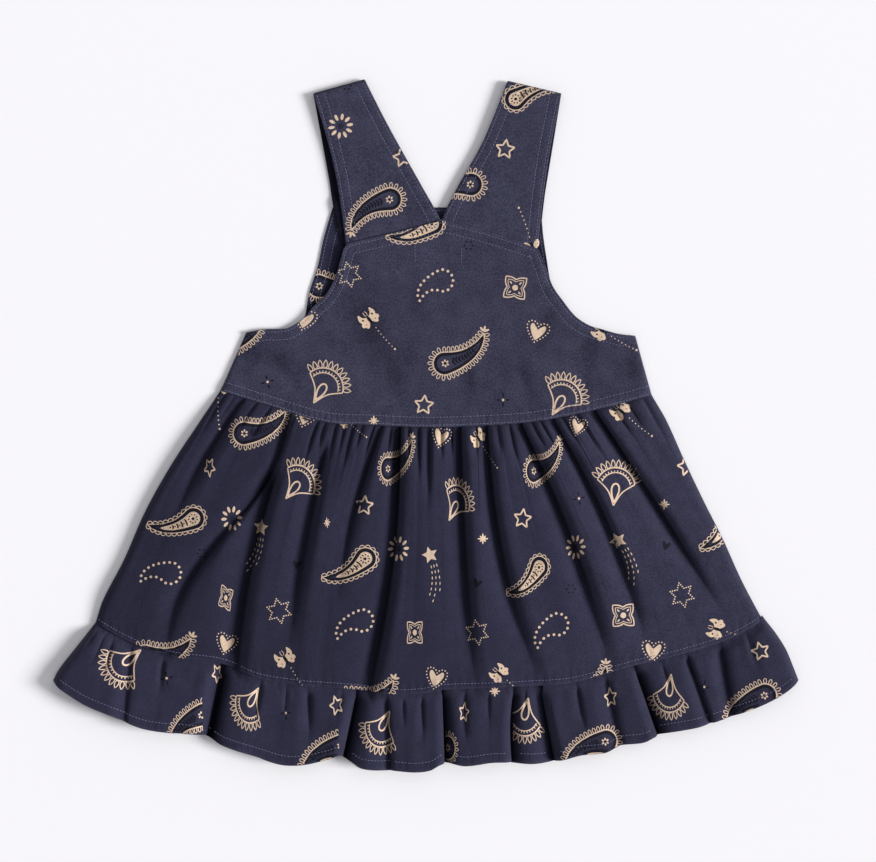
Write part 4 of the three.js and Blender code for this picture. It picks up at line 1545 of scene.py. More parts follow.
def teardrop(length: float, width: float, point: float = 1.3, count: int = 80) -> Field:
    """Outline of a straight teardrop with its round head at -X and its tip at +X."""
    a = 2 * np.pi * np.arange(count) / count
    side = np.sin(a) * np.sin(a / 2) ** point
    return zipped(np.cos(a) * length / 2, side / np.abs(side).max() * width / 2)


@dataclass(frozen=True)
class Paisley:
    """A teardrop bent to its left along its spine, laid with its head at -X and its tip at +X."""

    length: float
    width: float
    bend: float
    slimness: float = 0.22

    def placed(self, along: Field | float, aside: Field | float) -> Field:
        """Find points of the bent form.

        Args:
            along: distance along the spine from the middle of the head.
            aside: distance from the spine.

        Returns:
            The points.
        """
        along, aside = np.broadcast_arrays(np.atleast_1d(along).astype(float), aside)
        run = self.length - self.width / 2
        s = np.linspace(0, 1, 201)
        turn = self.bend * s**1.5
        middle_turn = (turn[1:] + turn[:-1]) / 2
        x = np.concatenate([[0], np.cumsum(np.cos(middle_turn))]) * run / 200
        y = np.concatenate([[0], np.cumsum(np.sin(middle_turn))]) * run / 200
        share = along / run
        angle = np.interp(share, s, turn)
        points = np.stack([
            np.interp(share, s, x) + np.minimum(along, 0) - aside * np.sin(angle),
            np.interp(share, s, y) + aside * np.cos(angle),
        ], axis=1)
        middle = np.array([(x[-1] - self.width / 2) / 2, y[-1] / 2])
        return turned(points - middle, -math.atan2(y[-1], x[-1]))

    def outline(self, inset: float = 0.0, shorter: float = 0.0, count: int = 60) -> Field:
        """Outline of the form, or of a smaller one inside it, anticlockwise from the tip."""
        run = self.length - self.width / 2 - shorter
        radius = self.width / 2 - inset
        s = np.linspace(0, 1, count)
        side = radius * np.cos(np.pi * s / 2) ** 0.9 * (1 - self.slimness * np.sin(np.pi * s))
        a = np.linspace(np.pi / 2, 3 * np.pi / 2, 24)[1:-1]
        along = np.concatenate([s[::-1] * run, radius * np.cos(a), s[:-1] * run])
        aside = np.concatenate([side[::-1], radius * np.sin(a), -side[:-1]])
        return self.placed(along, aside)


def facing_out(line: Field) -> Field:
    """Directions, in radians, that face out of a closed anticlockwise outline."""
    along = np.roll(line, -1, axis=0) - np.roll(line, 1, axis=0)
    return np.arctan2(-along[:, 0], along[:, 1])


def round_the_outline(line: Field, count: int, start: float = 0.0) -> tuple[Field, Field]:
    """Places evenly spaced round a closed outline, and the directions that face out of it."""
    dense = spaced(np.concatenate([line, line[:1]]), count * 8)[:-1]
    first = round(start * 8)
    return dense[first::8], facing_out(dense)[first::8]


class MotifKind(Enum):
    """Kinds of motif in the print."""

    LOOPED_PAISLEY = auto()
    SCALLOPED_PAISLEY = auto()
    DOTTED_PAISLEY = auto()
    FAN = auto()
    BUTTERFLY = auto()
    STAR = auto()
    DOTTED_STAR = auto()
    HEART = auto()
    QUATREFOIL = auto()
    DAISY = auto()
    SHOOTING_STAR = auto()
    SPARKLE = auto()
    CROSS_PETALS = auto()
    DARK_DOTS = auto()
    DARK_HEART = auto()


class MotifBook:
    """Draws each kind of bandana motif from plain formulas."""

    TRAIL_BEND = 42.0

    def __init__(self) -> None:
        """Draw every kind once."""
        self.pages = {kind: Drawing() for kind in MotifKind}
        for kind, page in self.pages.items():
            getattr(self, kind.name.lower())(page)

    def looped_paisley(self, art: Drawing) -> None:
        """Paisley edged with loops, with a tiny flower and a fern inside and a sprig at its tip."""
        form = Paisley(45, 16.2, 1.15)
        body = form.outline()
        art.stroke(CREAM, body, 0.8, closed=True)
        places, ways = round_the_outline(body, 33, 0.5)
        for place, way in zip(places, ways):
            art.loop(CREAM, place, way, 3.8, 2.1, 0.55)
        art.stroke(DARK, form.outline(1.7, 3.0), 1.9, closed=True)
        flower = form.placed(0.4, 0)[0]
        art.petals(CREAM, 6, 0.9, 1.9, 1.4, flower)
        art.dot(DARK, flower, 0.7, 0.08)
        art.stroke(DARK, form.placed(np.linspace(5, 26, 12), 0), 0.5)
        for k in range(8):
            at, ahead = form.placed(np.array([5.5 + 2.3 * k, 6.5 + 2.3 * k]), 0)
            way = math.atan2(*(ahead - at)[::-1])
            for side in (1, -1):
                art.petal(DARK, at, way + side * math.radians(52), 3.6 - 0.2 * k, 1.25)
        tip = body[0]
        for turn in (-0.75, 0.2, 1.15):
            art.petal(CREAM, tip + (0.6, 0.8), turn + 0.45, 4.2, 1.6)

    def scalloped_paisley(self, art: Drawing) -> None:
        """Paisley edged with scallops round a dark band and a cream drop."""
        form = Paisley(42, 15.4, 1.0, 0.3)
        body = form.outline()
        art.stroke(CREAM, body, 0.65, closed=True)
        places, _ = round_the_outline(body, 25)
        for first, last in zip(places, np.roll(places, -1, axis=0)):
            chord = last - first
            half = float(np.hypot(*chord)) / 2
            a = np.linspace(0, np.pi, 9)
            arc = zipped(-half * np.cos(a), -2.2 * np.sin(a))
            bow = turned(arc, math.atan2(chord[1], chord[0]))
            art.stroke(CREAM, (first + last) / 2 + bow, 0.55)
        art.stroke(DARK, form.outline(1.6, 2.5), 2.0, closed=True)
        art.stroke(CREAM, form.outline(3.2, 10.0), 0.5, closed=True)
        for share in np.linspace(0, 0.94, 16):
            slim = 1 - form.slimness * math.sin(math.pi * share)
            size = 4.3 * math.cos(math.pi * share / 2) ** 0.9 * slim
            art.dot(CREAM, form.placed(24.3 * share, 0)[0], size)
        eye = form.placed(0.2, 0)[0]
        art.dot(DARK, eye, 1.1, 0.1)
        art.dots(DARK, 9, 2.9, 0.6, eye, 0.1)
        for k in range(4):
            a = np.linspace(-0.95, 0.95, 7)
            reach = 3.0 - 0.5 * k
            crescent = form.placed(6.6 + 3.3 * k - 1.2 * np.cos(a), reach * np.sin(a))
            art.stroke(DARK, crescent, 1.0, raise_by=0.1)
            art.dot(DARK, form.placed(7.4 + 3.3 * k, 0)[0], 0.55, 0.1)

    def dotted_paisley(self, art: Drawing) -> None:
        """Paisley drawn in dots only."""
        places, _ = round_the_outline(Paisley(31, 15.4, 1.5, 0.3).outline(), 19)
        for place in places:
            art.dot(CREAM, place, 1.05)

    def fan(self, art: Drawing) -> None:
        """Fan with inward-curving sides, looped petals round its wide arc and a drop at its foot."""
        centre = np.array([12.4, 0.0])
        spread = math.radians(73)

        def arc(radius: float, share: float = 1.0) -> Field:
            """Points of an arc about the fan's centre."""
            a = np.linspace(-spread * share, spread * share, 31)
            return centre + radius * zipped(np.cos(a), np.sin(a))

        outer, inner = arc(14.0), arc(10.6, 0.99)
        for corner, side in ((outer[0], -1), (outer[-1], 1)):
            art.stroke(CREAM, smooth_line(((0, 0), (9.6, side * 5.0), tuple(corner))), 0.9)
        art.stroke(CREAM, outer, 0.85)
        art.stroke(CREAM, inner, 0.75)
        for k in range(13):
            a = (k - 6) / 6 * spread * 0.9
            way = np.array([math.cos(a), math.sin(a)])
            art.petal(CREAM, centre + 10.6 * way, a, 1.8, 0.8)
        for k in range(11):
            a = (k - 5) / 5 * spread * 0.89
            way = np.array([math.cos(a), math.sin(a)])
            shape = turned(teardrop(5.5, 2.7, 0.8), a) + centre + 16.9 * way
            art.stroke(CREAM, shape, 0.65, closed=True)
        art.stroke(CREAM, turned(teardrop(13.0, 5.4, 1.1), math.pi) + (8.8, 0), 1.2, closed=True)

    def butterfly(self, art: Drawing) -> None:
        """Butterfly with a dark body and a trail of dots behind it, towards +X."""
        wing = (
            (-1.6, 0.4), (-3.2, 3.4), (-7.0, 5.0), (-5.0, 6.6), (-2.2, 7.2), (0.0, 6.4), (1.0, 7.6),
            (3.2, 7.6), (4.0, 5.8), (5.6, 5.2), (5.6, 3.4), (3.6, 1.6), (1.4, 0.4),
        )
        for side in (1, -1):
            ring = smooth_line((*wing, wing[0]), 4)[:-1] * (1, side)
            art.fill(CREAM, ring if side < 0 else ring[::-1])
            art.dot(DARK, (-1.6, side * 4.4), 0.8, 0.08)
            art.dot(DARK, (2.6, side * 4.2), 0.45, 0.08)
            art.stroke(
                CREAM, smooth_line(((-2.2, side * 0.3), (-4.4, side * 1.2), (-6.4, side * 0.7))), 0.5
            )
        art.petal(DARK, (-3.0, 0), 0, 7.8, 2.3, 0.1)
        for k in range(8):
            bend = 0.04 * (k - 1.5) ** 2
            art.dot(CREAM, (8.6 + 3.1 * k, bend), 0.5 + (0.4 if k == 7 else 0.0))

    def star_points(self, radius: float, inner: float, count: int) -> Field:
        """Corners of a star."""
        a = np.pi / 2 + np.pi * np.arange(2 * count) / count
        r = np.where(np.arange(2 * count) % 2 == 0, radius, inner)
        return zipped(r * np.cos(a), r * np.sin(a))

    def star(self, art: Drawing) -> None:
        """Five-pointed star in outline, with dark dots in its corners."""
        art.stroke(CREAM, self.star_points(6.9, 3.3, 5), 1.15, closed=True)
        for place in self.star_points(0.1, 5.6, 5)[1::2]:
            art.dot(DARK, place, 0.62)

    def dotted_star(self, art: Drawing) -> None:
        """Six-pointed star drawn in dots."""
        corners = self.star_points(8.6, 4.9, 6)
        ring = np.concatenate([corners, corners[:1]])
        for place in spaced(ring, 36)[:-1]:
            art.dot(CREAM, place, 0.58)

    def heart_outline(self, size: float) -> Field:
        """Outline of a slender heart of a given width, point down."""
        half = (
            (0, -0.56), (0.26, -0.26), (0.46, 0.1), (0.5, 0.34), (0.42, 0.46), (0.28, 0.42), (0.12, 0.2),
            (0, 0.06),
        )
        line = smooth_line(half, 5) * size
        return np.concatenate([line, (line * (-1, 1))[-2:0:-1]])

    def heart(self, art: Drawing) -> None:
        """Heart ringed with dots."""
        art.fill(CREAM, self.heart_outline(11.0))
        a = 2 * np.pi * np.arange(60) / 60
        lobes = 6.9 * np.cos(a) - 2.7 * np.cos(2 * a) - 1.2 * np.cos(3 * a)
        ring = zipped(np.sin(a) ** 3 * 8.0, lobes)
        places, _ = round_the_outline(ring[::-1] + (0, 0.8), 22)
        for place in places:
            art.dot(CREAM, place, 0.58)

    def quatrefoil(self, art: Drawing) -> None:
        """Four pointed petals in nested lines round a ringed middle."""
        a = 2 * np.pi * np.arange(240) / 240
        from_point = 1 - np.abs((a / (math.pi / 2)) % 1 - 0.5) * 2
        for radius, depth, line in ((10.4, 4.9, 0.85), (7.8, 3.9, 0.5)):
            r = radius - depth * from_point**0.8
            art.stroke(CREAM, zipped(r * np.cos(a), r * np.sin(a)), line, closed=True)
        art.dot(CREAM, (0, 0), 2.1)
        art.petals(CREAM, 4, 3.4, 2.8, 1.1)

    def daisy(self, art: Drawing) -> None:
        """Ten separate petals round a dark middle."""
        art.petals(CREAM, 10, 4.2, 4.7, 2.2)
        art.dots(DARK, 6, 1.6, 0.6)
        art.dot(DARK, (0, 0), 0.8)

    def shooting_star(self, art: Drawing) -> None:
        """Star with three dashed trails towards +X."""
        art.fill(CREAM, turned(self.star_points(6.0, 2.9, 5), math.radians(80)))
        for lane, reach in ((-3.4, 6), (0, 7), (3.4, 5)):
            for k in range(reach):
                turn = (7.0 + 4.1 * k) / self.TRAIL_BEND
                aside = self.TRAIL_BEND + lane * (0.62 + 0.08 * k)
                at = (aside * math.sin(turn), aside * math.cos(turn) - self.TRAIL_BEND)
                art.petal(CREAM, at, -turn - 0.03 * k, 2.6, 0.75)

    def sparkle(self, art: Drawing) -> None:
        """Eight rays."""
        for k in range(8):
            art.petal(CREAM, (0, 0), k * math.pi / 4, 3.9 if k % 2 == 0 else 3.1, 1.1)

    def cross_petals(self, art: Drawing) -> None:
        """Cream dot between four dark petals."""
        art.dot(CREAM, (0, 0), 0.95)
        art.petals(DARK, 4, 1.7, 3.2, 1.3)

    def dark_dots(self, art: Drawing) -> None:
        """Ring of dark dots."""
        art.dots(DARK, 6, 2.9, 0.8)

    def dark_heart(self, art: Drawing) -> None:
        """Small dark heart."""
        art.fill(DARK, self.heart_outline(6.0))


@dataclass(frozen=True)
class Motif:
    """A motif on the cloth: its kind, place and angle in degrees, and how the gathers narrow it.

    Only what lies between two places along X shows, where a fold hides the rest.
    """

    kind: MotifKind
    x: float
    y: float
    angle: float = 0.0
    narrowed: float = 1.0
    mirrored: bool = False
    size: float = 1.0
    shown: Pair = (-math.inf, math.inf)


def laid(kind: MotifKind, *places: tuple[float, ...], **shared: float | bool) -> tuple[Motif, ...]:
    """Lay a kind of motif at places given as x, y, angle and how much it is narrowed."""
    return tuple(Motif(kind, *place, **shared) for place in places)


K = MotifKind
PRINT_ROWS: dict[str, tuple[Motif, ...]] = {
    "strap_left": (
        Motif(K.DAISY, -59.4, 208.6, 9),
        Motif(K.LOOPED_PAISLEY, -34.5, 147.5, 219),
        Motif(K.STAR, -16.2, 186.9, 12),
        Motif(K.DARK_DOTS, -55.2, 237),
    ),
    "strap_right": (
        Motif(K.SCALLOPED_PAISLEY, 75.5, 228.6, 12, mirrored=True),
        Motif(K.STAR, 55.4, 192.5, -8),
        Motif(K.LOOPED_PAISLEY, 19.8, 160.5, 205),
        Motif(K.BUTTERFLY, 75, 123, 107),
    ),
    "back_bodice": (
        Motif(K.DOTTED_STAR, -53.6, 105, 12),
        Motif(K.SCALLOPED_PAISLEY, -8.4, 138.6, 194, mirrored=True),
        Motif(K.DOTTED_PAISLEY, 7.4, 94.4, 222),
        Motif(K.QUATREFOIL, 62.4, 95.9, 38),
        *laid(K.BUTTERFLY, (-39.8, 74.2, -51.5), (123, 66, -31.7), size=0.92),
        *laid(K.HEART, (77.8, 65.1, -16), (-84.6, 73.6, -16)),
        *laid(K.LOOPED_PAISLEY, (22.9, 52.8, 38), (-130.6, 67.5, 38)),
        *laid(K.FAN, (-78.3, 15.4, 58), (88.3, 7, 59)),
        Motif(K.STAR, -1.3, 14, -6),
        *laid(K.CROSS_PETALS, (54, 17.5), (-110.5, 30.1, 15)),
        Motif(K.DARK_DOTS, 30, 125.3),
        Motif(K.SPARKLE, -36.3, 2.8),
    ),
    "skirt_back": (
        *laid(
            K.LOOPED_PAISLEY, (-116, 2, 27, 0.92), (-20.4, -21, 36, 0.6), (81.6, -22.6, 36, 0.64),
            (-183.5, -154.6, 22), (-42, -185.6, 27), (110.6, -182.4, 50),
        ),
        *laid(
            K.HEART, (-84, 6, -16), (10.6, -8.4, -16, 0.85), (-139.2, -152.6, -16, 0.9),
            (7.1, -176.4, -14, 0.92), (158.3, -157.5, -6),
        ),
        Motif(K.HEART, 105.8, -1, -16, 0.9, size=0.87),
        Motif(K.BUTTERFLY, -56, 3.6, -32, 0.7, size=0.8),
        *laid(
            K.BUTTERFLY, (36.5, -9.1, -50, 0.7), (135.9, 10, -41.5), (-97.9, -162.4, -59),
            (202.4, -142.1, -16), size=0.92,
        ),
        Motif(K.BUTTERFLY, -145, 27.5, -90),
        *laid(
            K.STAR, (-150.4, -29.4, 40, 0.6), (-42.6, -56, -6, 0.92), (67.3, -65.1, -8, 0.92),
            (182.1, -28.7, 14),
        ),
        *laid(K.FAN, (-97.2, -51.1, 47, 0.88), (16.2, -66.5, 57, 0.68), (130.3, -56, 82)),
        Motif(K.CROSS_PETALS, 106.5, -51.1, 10, 0.9),
        *laid(
            K.SCALLOPED_PAISLEY, (-174.6, -65.2, 187), (-54.4, -96.6, 203), (69.4, -104.6, 213, 0.82),
            (203.5, -70.5, 226), mirrored=True,
        ),
        *laid(K.DAISY, (-135, -65.1, 4, 0.84), (-19, -86.1, 4, 0.84), (104.4, -85.1, 4, 0.76)),
        *laid(K.SHOOTING_STAR, (-114.7, -71.4, 273, 0.9), (2.9, -90.3, 297, 0.95), (133.8, -80.5, 313)),
        *laid(K.SPARKLE, (-68.5, -67.9, 10, 0.6), (39.7, -79.1), (166, -55.3)),
        *laid(K.DARK_DOTS, (-156, -89.6), (100.9, -114.1)),
        *laid(K.DARK_HEART, (-89.8, -97.3, -10), (35.8, -109.9, -20), (167.4, -84, -20)),
        *laid(K.DOTTED_PAISLEY, (-184.7, -107.1, 196), (-48.9, -142.1, 216), (88.3, -145.6, 230)),
        *laid(K.QUATREFOIL, (-139.2, -120.4, 28, 0.54), (-7.6, -144.2, 45, 0.7), (137.3, -132.3, 47)),
        *laid(K.DOTTED_STAR, (-102, -129.3, 12), (35.8, -144.2, 10, 0.92), (178.3, -118.3, 14)),
        Motif(K.BUTTERFLY, 51.2, -172.9, -42, size=0.85),
    ),
    "ruffle_back": (
        *laid(
            K.FAN, (-198.7, -156.8, 220), (-116.5, -183.4, 233, 0.74), (-25.2, -199.6, 240, 0.84),
            (171, -173.6, 262, 0.8),
        ),
        Motif(K.FAN, 71.5, -190.4, 257, 0.9, shown=(60.4, 120)),
        *laid(
            K.STAR, (-145.8, -173.6, 30, 0.5), (-62.2, -195.3, 20, 0.7), (26.7, -200.4, -10, 0.52),
            (128.9, -190, 10, 0.64),
        ),
        Motif(K.STAR, 233.2, -157.5, 16, size=0.93),
        *laid(K.CROSS_PETALS, (-180.5, -176.4, 12), (-97.4, -200.6, 5, 0.8), (194, -182.4, -8, 0.8)),
        Motif(K.LOOPED_PAISLEY, -163.5, -212.5, 222, 0.85, shown=(-200, -155.2)),
        Motif(K.LOOPED_PAISLEY, -68.2, -232.9, 218, shown=(-110, -60.2)),
        Motif(K.LOOPED_PAISLEY, 9.5, -234.5, 215, 0.6, shown=(13.4, 60)),
        *laid(K.LOOPED_PAISLEY, (114.9, -229.4, 214), (226.9, -198.6, 222)),
        Motif(K.SPARKLE, 48.1, -185.5),
    ),
    "front_bodice": (
        Motif(K.LOOPED_PAISLEY, -62, 102.5, 15),
        Motif(K.SCALLOPED_PAISLEY, 14.5, 140.5, 40),
        Motif(K.STAR, 30, 90),
    ),
}


class Printer:
    """Lays the print on pieces of cloth, as thin films of ink that follow them."""

    INK_HEIGHT = 0.07
    LONGEST_STEP = 1.5

    def __init__(self, book: MotifBook, materials: Materials) -> None:
        """Keep the motifs and the inks."""
        self.book = book
        self.inks = {CREAM: (materials.cream, "print"), DARK: (materials.dark, "print_dark")}

    def lay(
        self, name: str, surface: Surface, motifs: tuple[Motif, ...], underside: bool = False,
        crease: Callable[[Field, Field], Field] | None = None,
    ) -> list[Piece]:
        """Print motifs on one side of a piece.

        Args:
            name: the piece's name.
            surface: its faces.
            motifs: what to print.
            underside: whether to print it from below.
            crease: the painted shade of the folds at given places.

        Returns:
            One object for each tone of ink.
        """
        pieces = []
        for tone, (material, slot) in self.inks.items():
            points, faces, raised, count = [], [], [], 0
            for motif in motifs:
                scale = np.array([motif.size, -motif.size if motif.mirrored else motif.size])
                for part_tone, raise_by, shape, triangles in self.book.pages[motif.kind].parts:
                    if part_tone is not tone:
                        continue
                    placed = turned(shape * scale, math.radians(motif.angle)) * (motif.narrowed, 1)
                    placed += (motif.x, motif.y)
                    inside = (placed[:, 0] > motif.shown[0]) & (placed[:, 0] < motif.shown[1])
                    triangles = triangles[inside[triangles].all(axis=1)]
                    points.append(placed)
                    flipped = motif.mirrored != underside
                    faces.append((triangles[:, ::-1] if flipped else triangles) + count)
                    raised.append(np.full(len(shape), raise_by))
                    count += len(shape)
            if not points:
                continue
            plan, triangles = np.concatenate(points), np.concatenate(faces)
            height = surface.heights(plan, underside)
            facing = -1.0 if underside else 1.0
            lift = self.INK_HEIGHT + np.concatenate(raised)
            whole = ~np.isnan(height[triangles]).any(axis=1)
            steps = np.ptp(np.nan_to_num(height)[triangles], axis=1)
            triangles = triangles[whole & (steps < self.LONGEST_STEP)]
            used, triangles = np.unique(triangles, return_inverse=True)
            solid = np.concatenate([plan, (height + facing * lift)[:, None]], axis=1)[used]
            piece = linked(f"{name}_{slot}", solid, triangles.reshape(-1, 3), material)
            # The ink takes the painted shade of the folds under it
            store(piece.data, "crease", np.zeros(len(solid)) if crease is None else crease(*plan[used].T))
            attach(piece, "root")
            pieces.append(piece)
        return pieces


@dataclass
class Studio:
    """A plain pale table, soft light from the upper right and the camera straight above."""

    centre: Pair = (8.54, -4.2)
    view_width: float = 613.2
    height: float = 1600.0
    sensor: float = 36.0
    table_size: float = 8.0
    table_drop: float = 0.2
    key_strength: float = 4.38
    key_softness: float = 20.0
    key_azimuth: float = -7.0
    key_elevation: float = 27.0
    key_colour: Triple = (1.0, 0.99, 0.98)
    fill_place: Triple = (2.0, 1.6, 2.4)
    fill_size: float = 1.6
    fill_strength: float = 6.0
    fill_colour: Triple = (1.0, 0.995, 0.99)
    room_colour: tuple[float, float, float, float] = (0.96, 0.955, 1.0, 1)
    room_strength: float = 0.48

    def build(self, materials: Materials) -> None:
        """Build the table, the lights and the camera."""
        mesh = bpy.data.meshes.new("table")
        half = self.table_size / 2
        corners = [(-half, -half, 0), (half, -half, 0), (half, half, 0), (-half, half, 0)]
        mesh.from_pydata(corners, [], [(0, 1, 2, 3)])
        mesh.materials.append(materials.floor)
        table = bpy.data.objects.new("table", mesh)
        table.location.z = -self.table_drop * MM
        bpy.context.collection.objects.link(table)
        table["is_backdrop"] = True
        turn, rise = math.radians(self.key_azimuth), math.radians(self.key_elevation)
        toward = (math.cos(turn) * math.cos(rise), math.sin(turn) * math.cos(rise), math.sin(rise))
        key = self._lamp("key_light", "SUN", toward, self.key_strength, self.key_colour)
        key.angle = math.radians(self.key_softness)
        fill = self._lamp("fill_light", "AREA", self.fill_place, self.fill_strength, self.fill_colour)
        fill.size = self.fill_size
        world = bpy.data.worlds.new("soft_room")
        world.use_nodes = True
        background = world.node_tree.nodes["Background"]
        background.inputs["Color"].default_value = self.room_colour
        background.inputs["Strength"].default_value = self.room_strength
        bpy.context.scene.world = world
        bpy.context.scene.view_settings.view_transform = "Standard"
        camera = bpy.data.cameras.new("camera")
        camera.sensor_width = self.sensor
        camera.lens = self.sensor * self.height / self.view_width
        holder = bpy.data.objects.new("camera", camera)
        holder.location = (self.centre[0] * MM, self.centre[1] * MM, self.height * MM)
        bpy.context.collection.objects.link(holder)
        bpy.context.scene.camera = holder

    def _lamp(
        self, name: str, kind: str, place: Triple, strength: float,
        colour: Triple,
    ) -> bpy.types.Light:
        """Hang a light that faces the dress.

        Args:
            name: its name.
            kind: the kind of light.
            place: where it hangs, in metres.
            strength: its energy.
            colour: its colour.

        Returns:
            The light.
        """
        lamp = bpy.data.lights.new(name, kind)
        lamp.energy, lamp.color = strength, colour
        holder = bpy.data.objects.new(name, lamp)
        holder.location = place
        holder.rotation_euler = (-Vector(place)).to_track_quat("-Z", "Y").to_euler()
        bpy.context.collection.objects.link(holder)
        return lamp


@dataclass(frozen=True)
class Cut:
    """The flat cut of a piece: its width and length, how it is held, what it rests on and its area."""

    width: float
    length: float
    held: str
    rests_on: tuple[str, ...]
    area: float | None = None


CUTS: dict[str, Cut] = {
    "skirt_back": Cut(0.572, 0.19, "gathered", ("skirt_front", "back_bodice"), 0.1),
    "ruffle_back": Cut(0.7, 0.058, "gathered", ("ruffle_front", "skirt_back")),
    "back_bodice": Cut(0.302, 0.146, "laid", ("front_bodice",), 0.0295),
    "strap_left": Cut(0.066, 0.235, "folded", ("front_bodice",), 0.0093),
    "strap_right": Cut(0.066, 0.235, "folded", ("front_bodice",), 0.0093),
    "skirt_front": Cut(0.467, 0.212, "laid", ("table",), 0.072),
    "ruffle_front": Cut(0.522, 0.107, "laid", ("table",), 0.0275),
    "front_bodice": Cut(0.302, 0.154, "laid", ("table",), 0.0325),
}


class Dress:
    """The whole dress: its eight pieces of cloth, their topstitching and their print."""

    HEM_FADE = 0.35
    LIT_LINE = 70
    LIT_REACH = 80
    SKIRT_SEAM_ROW = 3.6
    FRONT_MIRROR = 6.0

    def __init__(self, materials: Materials) -> None:
        """Keep the finishes."""
        self.materials = materials
        self.printer = Printer(MotifBook(), materials)
        self.surfaces: dict[str, Surface] = {}
        self.pieces: dict[str, Piece] = {}
        self.trims: dict[str, list[Piece]] = {}
        self.creases: dict[str, Callable[[Field, Field], Field]] = {}

    def gathered(self, panel: GatheredPanel) -> Piece:
        """Build a gathered panel's shell.

        Args:
            panel: the panel.

        Returns:
            Its shell, worn paler at its lower edge, painted lighter on its lit side and with painted shade
            in its folds.
        """
        x, y = panel.plan()
        height, lean = panel.middle(x, y)
        fade = self.HEM_FADE * bell(y - panel.lower(x), 1.6)
        # Painted light on the lit side of the panel
        fade = fade + panel.lit * eased(x - self.LIT_LINE, self.LIT_REACH)
        points = np.stack([x + lean, y, height], axis=-1)
        # The panel's painted fold shade, kept to be laid on its print too
        self.creases[panel.name] = panel.crease
        return Shell(panel.thickness).build(f"{panel.name}_cloth", points, fade, panel.crease(x, y))

    def add(self, piece: Piece) -> None:
        """Dress a piece in twill and let it stand for its node."""
        piece.data.materials.append(self.materials.twill)
        node = piece.name.removesuffix("_cloth")
        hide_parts(node)
        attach(piece, "root")
        self.pieces[node] = piece
        self.surfaces[node] = Surface(piece)
        LOG.info("%s: %d faces", piece.name, len(piece.data.polygons))

    def build_cloth(self) -> None:
        """Build the eight pieces of cloth from the table up."""
        columns = 350
        tops, bottoms = np.linspace(-142.6, 157, 251), np.linspace(-230, 235.4, 251)
        self.add(FlatPanel(
            "skirt_front", zipped(tops, waist(tops) - 0.3),
            zipped(bottoms, skirt_hem(bottoms)),
            skirt_left, skirt_right, row_shares(185, (0, 0.4, 1.2), (0, 0.4, 1.2), 3.4), 1.0,
        ).build())
        tops, bottoms = np.linspace(-230, 235.4, columns + 1), np.linspace(-260.2, 260.2, columns + 1)
        self.add(FlatPanel(
            "ruffle_front", zipped(tops, skirt_hem(tops) - 0.3),
            zipped(bottoms, ruffle_hem(bottoms) - front_hem_drop(bottoms)),
            ruffle_left, ruffle_right, row_shares(50, (0, 0.4, 1.2), (0, 0.4, 1.2), 2.4), 1.0,
        ).build())
        edge = np.concatenate([
            spaced(smooth_line(BIB_LEFT_ARMHOLE), 46),
            spaced(np.array([BIB_LEFT_ARMHOLE[-1], BIB_RIGHT_ARMHOLE[0]]), 66)[1:],
            spaced(smooth_line(BIB_RIGHT_ARMHOLE), 46)[1:],
        ])
        bodice = BackBodice()
        under = bodice.waist_under(edge[:, 0])
        self.add(FlatPanel(
            "front_bodice", edge, zipped(under, waist(under)), None, None,
            row_shares(140, (0, 0.4, 1.2), (0, 0.4, 1.2), 2.4), 0.25, thickness=0.8, lift=0.5,
            shaded_by=bodice.top_edge(),
        ).build())
        skirt = SkirtBack(
            "skirt_back", waist, skirt_hem, skirt_left, skirt_right, (-143, -230.8, 157, 236.2),
            SKIRT_FOLDS, SKIRT_RIDGES, 500,
            row_shares(188, (0, 0.4, 1.2, 2.4, 3.4, 4.4, 5.6, 7.0, 8.6), (0, 0.3, 0.9, 2.0, 3.4), 2.1),
            0.75, seed=11,
        )
        self.add(self.gathered(skirt))
        self.add(self.gathered(RuffleBack(
            "ruffle_back", skirt_hem, ruffle_hem, ruffle_left, ruffle_right, (-229.4, -260.6, 234.6, 260.6),
            RUFFLE_FOLDS, RUFFLE_RIDGES, 700,
            row_shares(53, (0, 1.2, 2.4, 3.4, 4.6), (0, 0.3, 0.8, 1.6, 2.6, 3.8, 5.0, 6.0, 6.6, 7.4), 1.5),
            0.45, seed=23, darkest=0.97, paler=0.0, lit=0.08, skirt=skirt,
        )))
        self.add(Strap("strap_left", STRAP_LEFT_BACK, STRAP_LEFT_FRONT).build())
        self.add(Strap("strap_right", STRAP_RIGHT_BACK, STRAP_RIGHT_FRONT).build())
        self.add(bodice.build())

    def stitch(self, node: str, lines: list[Field], underside: bool = False) -> None:
        """Sew rows of topstitches on one side of a piece."""
        suffix = "underside_stitches" if underside else "stitches"
        rows = Topstitching(f"{node}_{suffix}", self.surfaces[node], underside)
        for line in lines:
            rows.add(line)
        piece = rows.build(self.materials.thread)
        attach(piece, "root")
        self.trims.setdefault(node, []).append(piece)

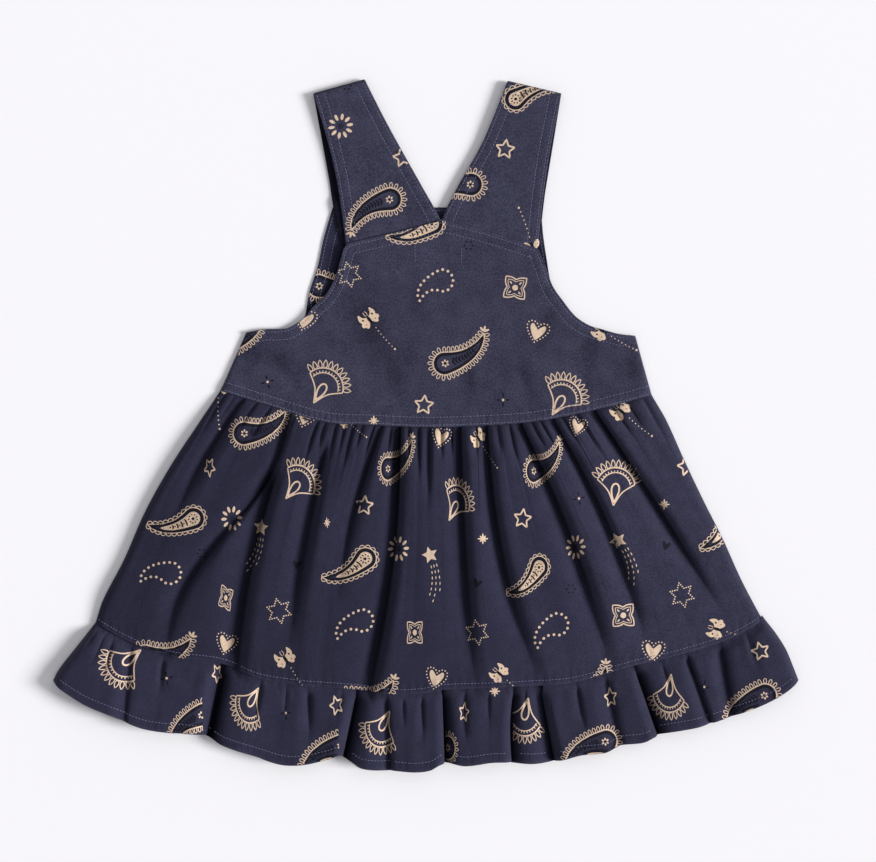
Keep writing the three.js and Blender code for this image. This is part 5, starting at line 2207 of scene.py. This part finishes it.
    def sew(self) -> None:
        """Sew every row that shows, and those of the underside."""
        bodice = BackBodice()
        edge = np.concatenate([
            smooth_line(LEFT_ARMHOLE), smooth_line(ARCH)[1:], smooth_line(RIGHT_ARMHOLE)[1:],
        ])
        edge = spaced(edge, 300)
        along_waist = np.linspace(-141, 155, 240)
        lines = [moved_aside(edge, -at)[4:-4] for at in bodice.edge_rows]
        lines += [zipped(along_waist, waist(along_waist) + at) for at in bodice.waist_rows]
        lines += [np.array([(x, y), (x, y - 11.2)]) for x, y in ((-7.6, 125.3), (25.0, 123.9))]
        self.stitch("back_bodice", lines)
        for name, runs in (
            ("strap_left", (STRAP_LEFT_BACK, STRAP_LEFT_FRONT)),
            ("strap_right", (STRAP_RIGHT_BACK, STRAP_RIGHT_FRONT)),
        ):
            for run, facing in zip(runs, (1, -1)):
                lines = []
                for side, inwards in zip(run, (-facing, facing)):
                    edge = spaced(smooth_line(side), 120)
                    lines += [moved_aside(edge, inwards * at)[4:-2] for at in EDGE_ROWS]
                self.stitch(name, lines, underside=facing < 0)
        across = np.linspace(-229, 234.6, 300)
        seam_row = zipped(across, skirt_hem(across) + self.SKIRT_SEAM_ROW)
        self.stitch("skirt_back", [seam_row])
        self.stitch("skirt_front", [seam_row], underside=True)
        across = np.linspace(-258.5, 258.5, 330)
        hem_row = ruffle_hem(across) + RuffleBack.HEM_WIDTH
        self.stitch("ruffle_back", [zipped(across, hem_row)])
        front_row = zipped(across, hem_row - front_hem_drop(across))
        self.stitch("ruffle_front", [front_row], underside=True)
        edge = np.concatenate([smooth_line(BIB_LEFT_ARMHOLE), smooth_line(BIB_RIGHT_ARMHOLE)])
        edge = spaced(edge, 320)
        lines = [moved_aside(edge, -at)[4:-4] for at in EDGE_ROWS]
        self.stitch("front_bodice", lines)
        lines = lines + [zipped(along_waist, waist(along_waist) + at) for at in bodice.waist_rows]
        self.stitch("front_bodice", lines, underside=True)

    def print_cloth(self) -> None:
        """Print every piece, and the undersides with the same motifs turned over."""
        for node, motifs in PRINT_ROWS.items():
            laid = self.printer.lay(node, self.surfaces[node], motifs, crease=self.creases.get(node))
            self.trims.setdefault(node, []).extend(laid)
        for node, pattern in (
            ("skirt_front", "skirt_back"), ("ruffle_front", "ruffle_back"), ("front_bodice", "back_bodice"),
            ("strap_left", "strap_right"), ("strap_right", "strap_left"),
        ):
            motifs = tuple(
                Motif(m.kind, 2 * self.FRONT_MIRROR - m.x, m.y, 180 - m.angle, 1.0, not m.mirrored, m.size)
                for m in PRINT_ROWS[pattern]
            )
            self.trims.setdefault(node, []).extend(
                self.printer.lay(f"{node}_underside", self.surfaces[node], motifs, underside=True)
            )

    def declare(self) -> None:
        """Look up, for each listed flat cut, what its piece rests on and its trims."""
        for node, cut in CUTS.items():
            rests = [self.pieces[name] if name in self.pieces else name for name in cut.rests_on]
            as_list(self.trims[node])


def main() -> None:
    """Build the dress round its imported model, then the studio."""
    logging.basicConfig(level=logging.INFO, format="%(name)s: %(message)s")
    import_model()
    cad_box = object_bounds()
    materials = Materials()
    Studio().build(materials)
    dress = Dress(materials)
    dress.build_cloth()
    dress.sew()
    dress.print_cloth()
    dress.declare()
    boxes = {"cad": cad_box, "visual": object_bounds()}
    plain = {key: [[float(v) for v in corner] for corner in value] for key, value in boxes.items()}
    LOG.info("boxes: %s", plain)


if __name__ == "__main__":
    main()
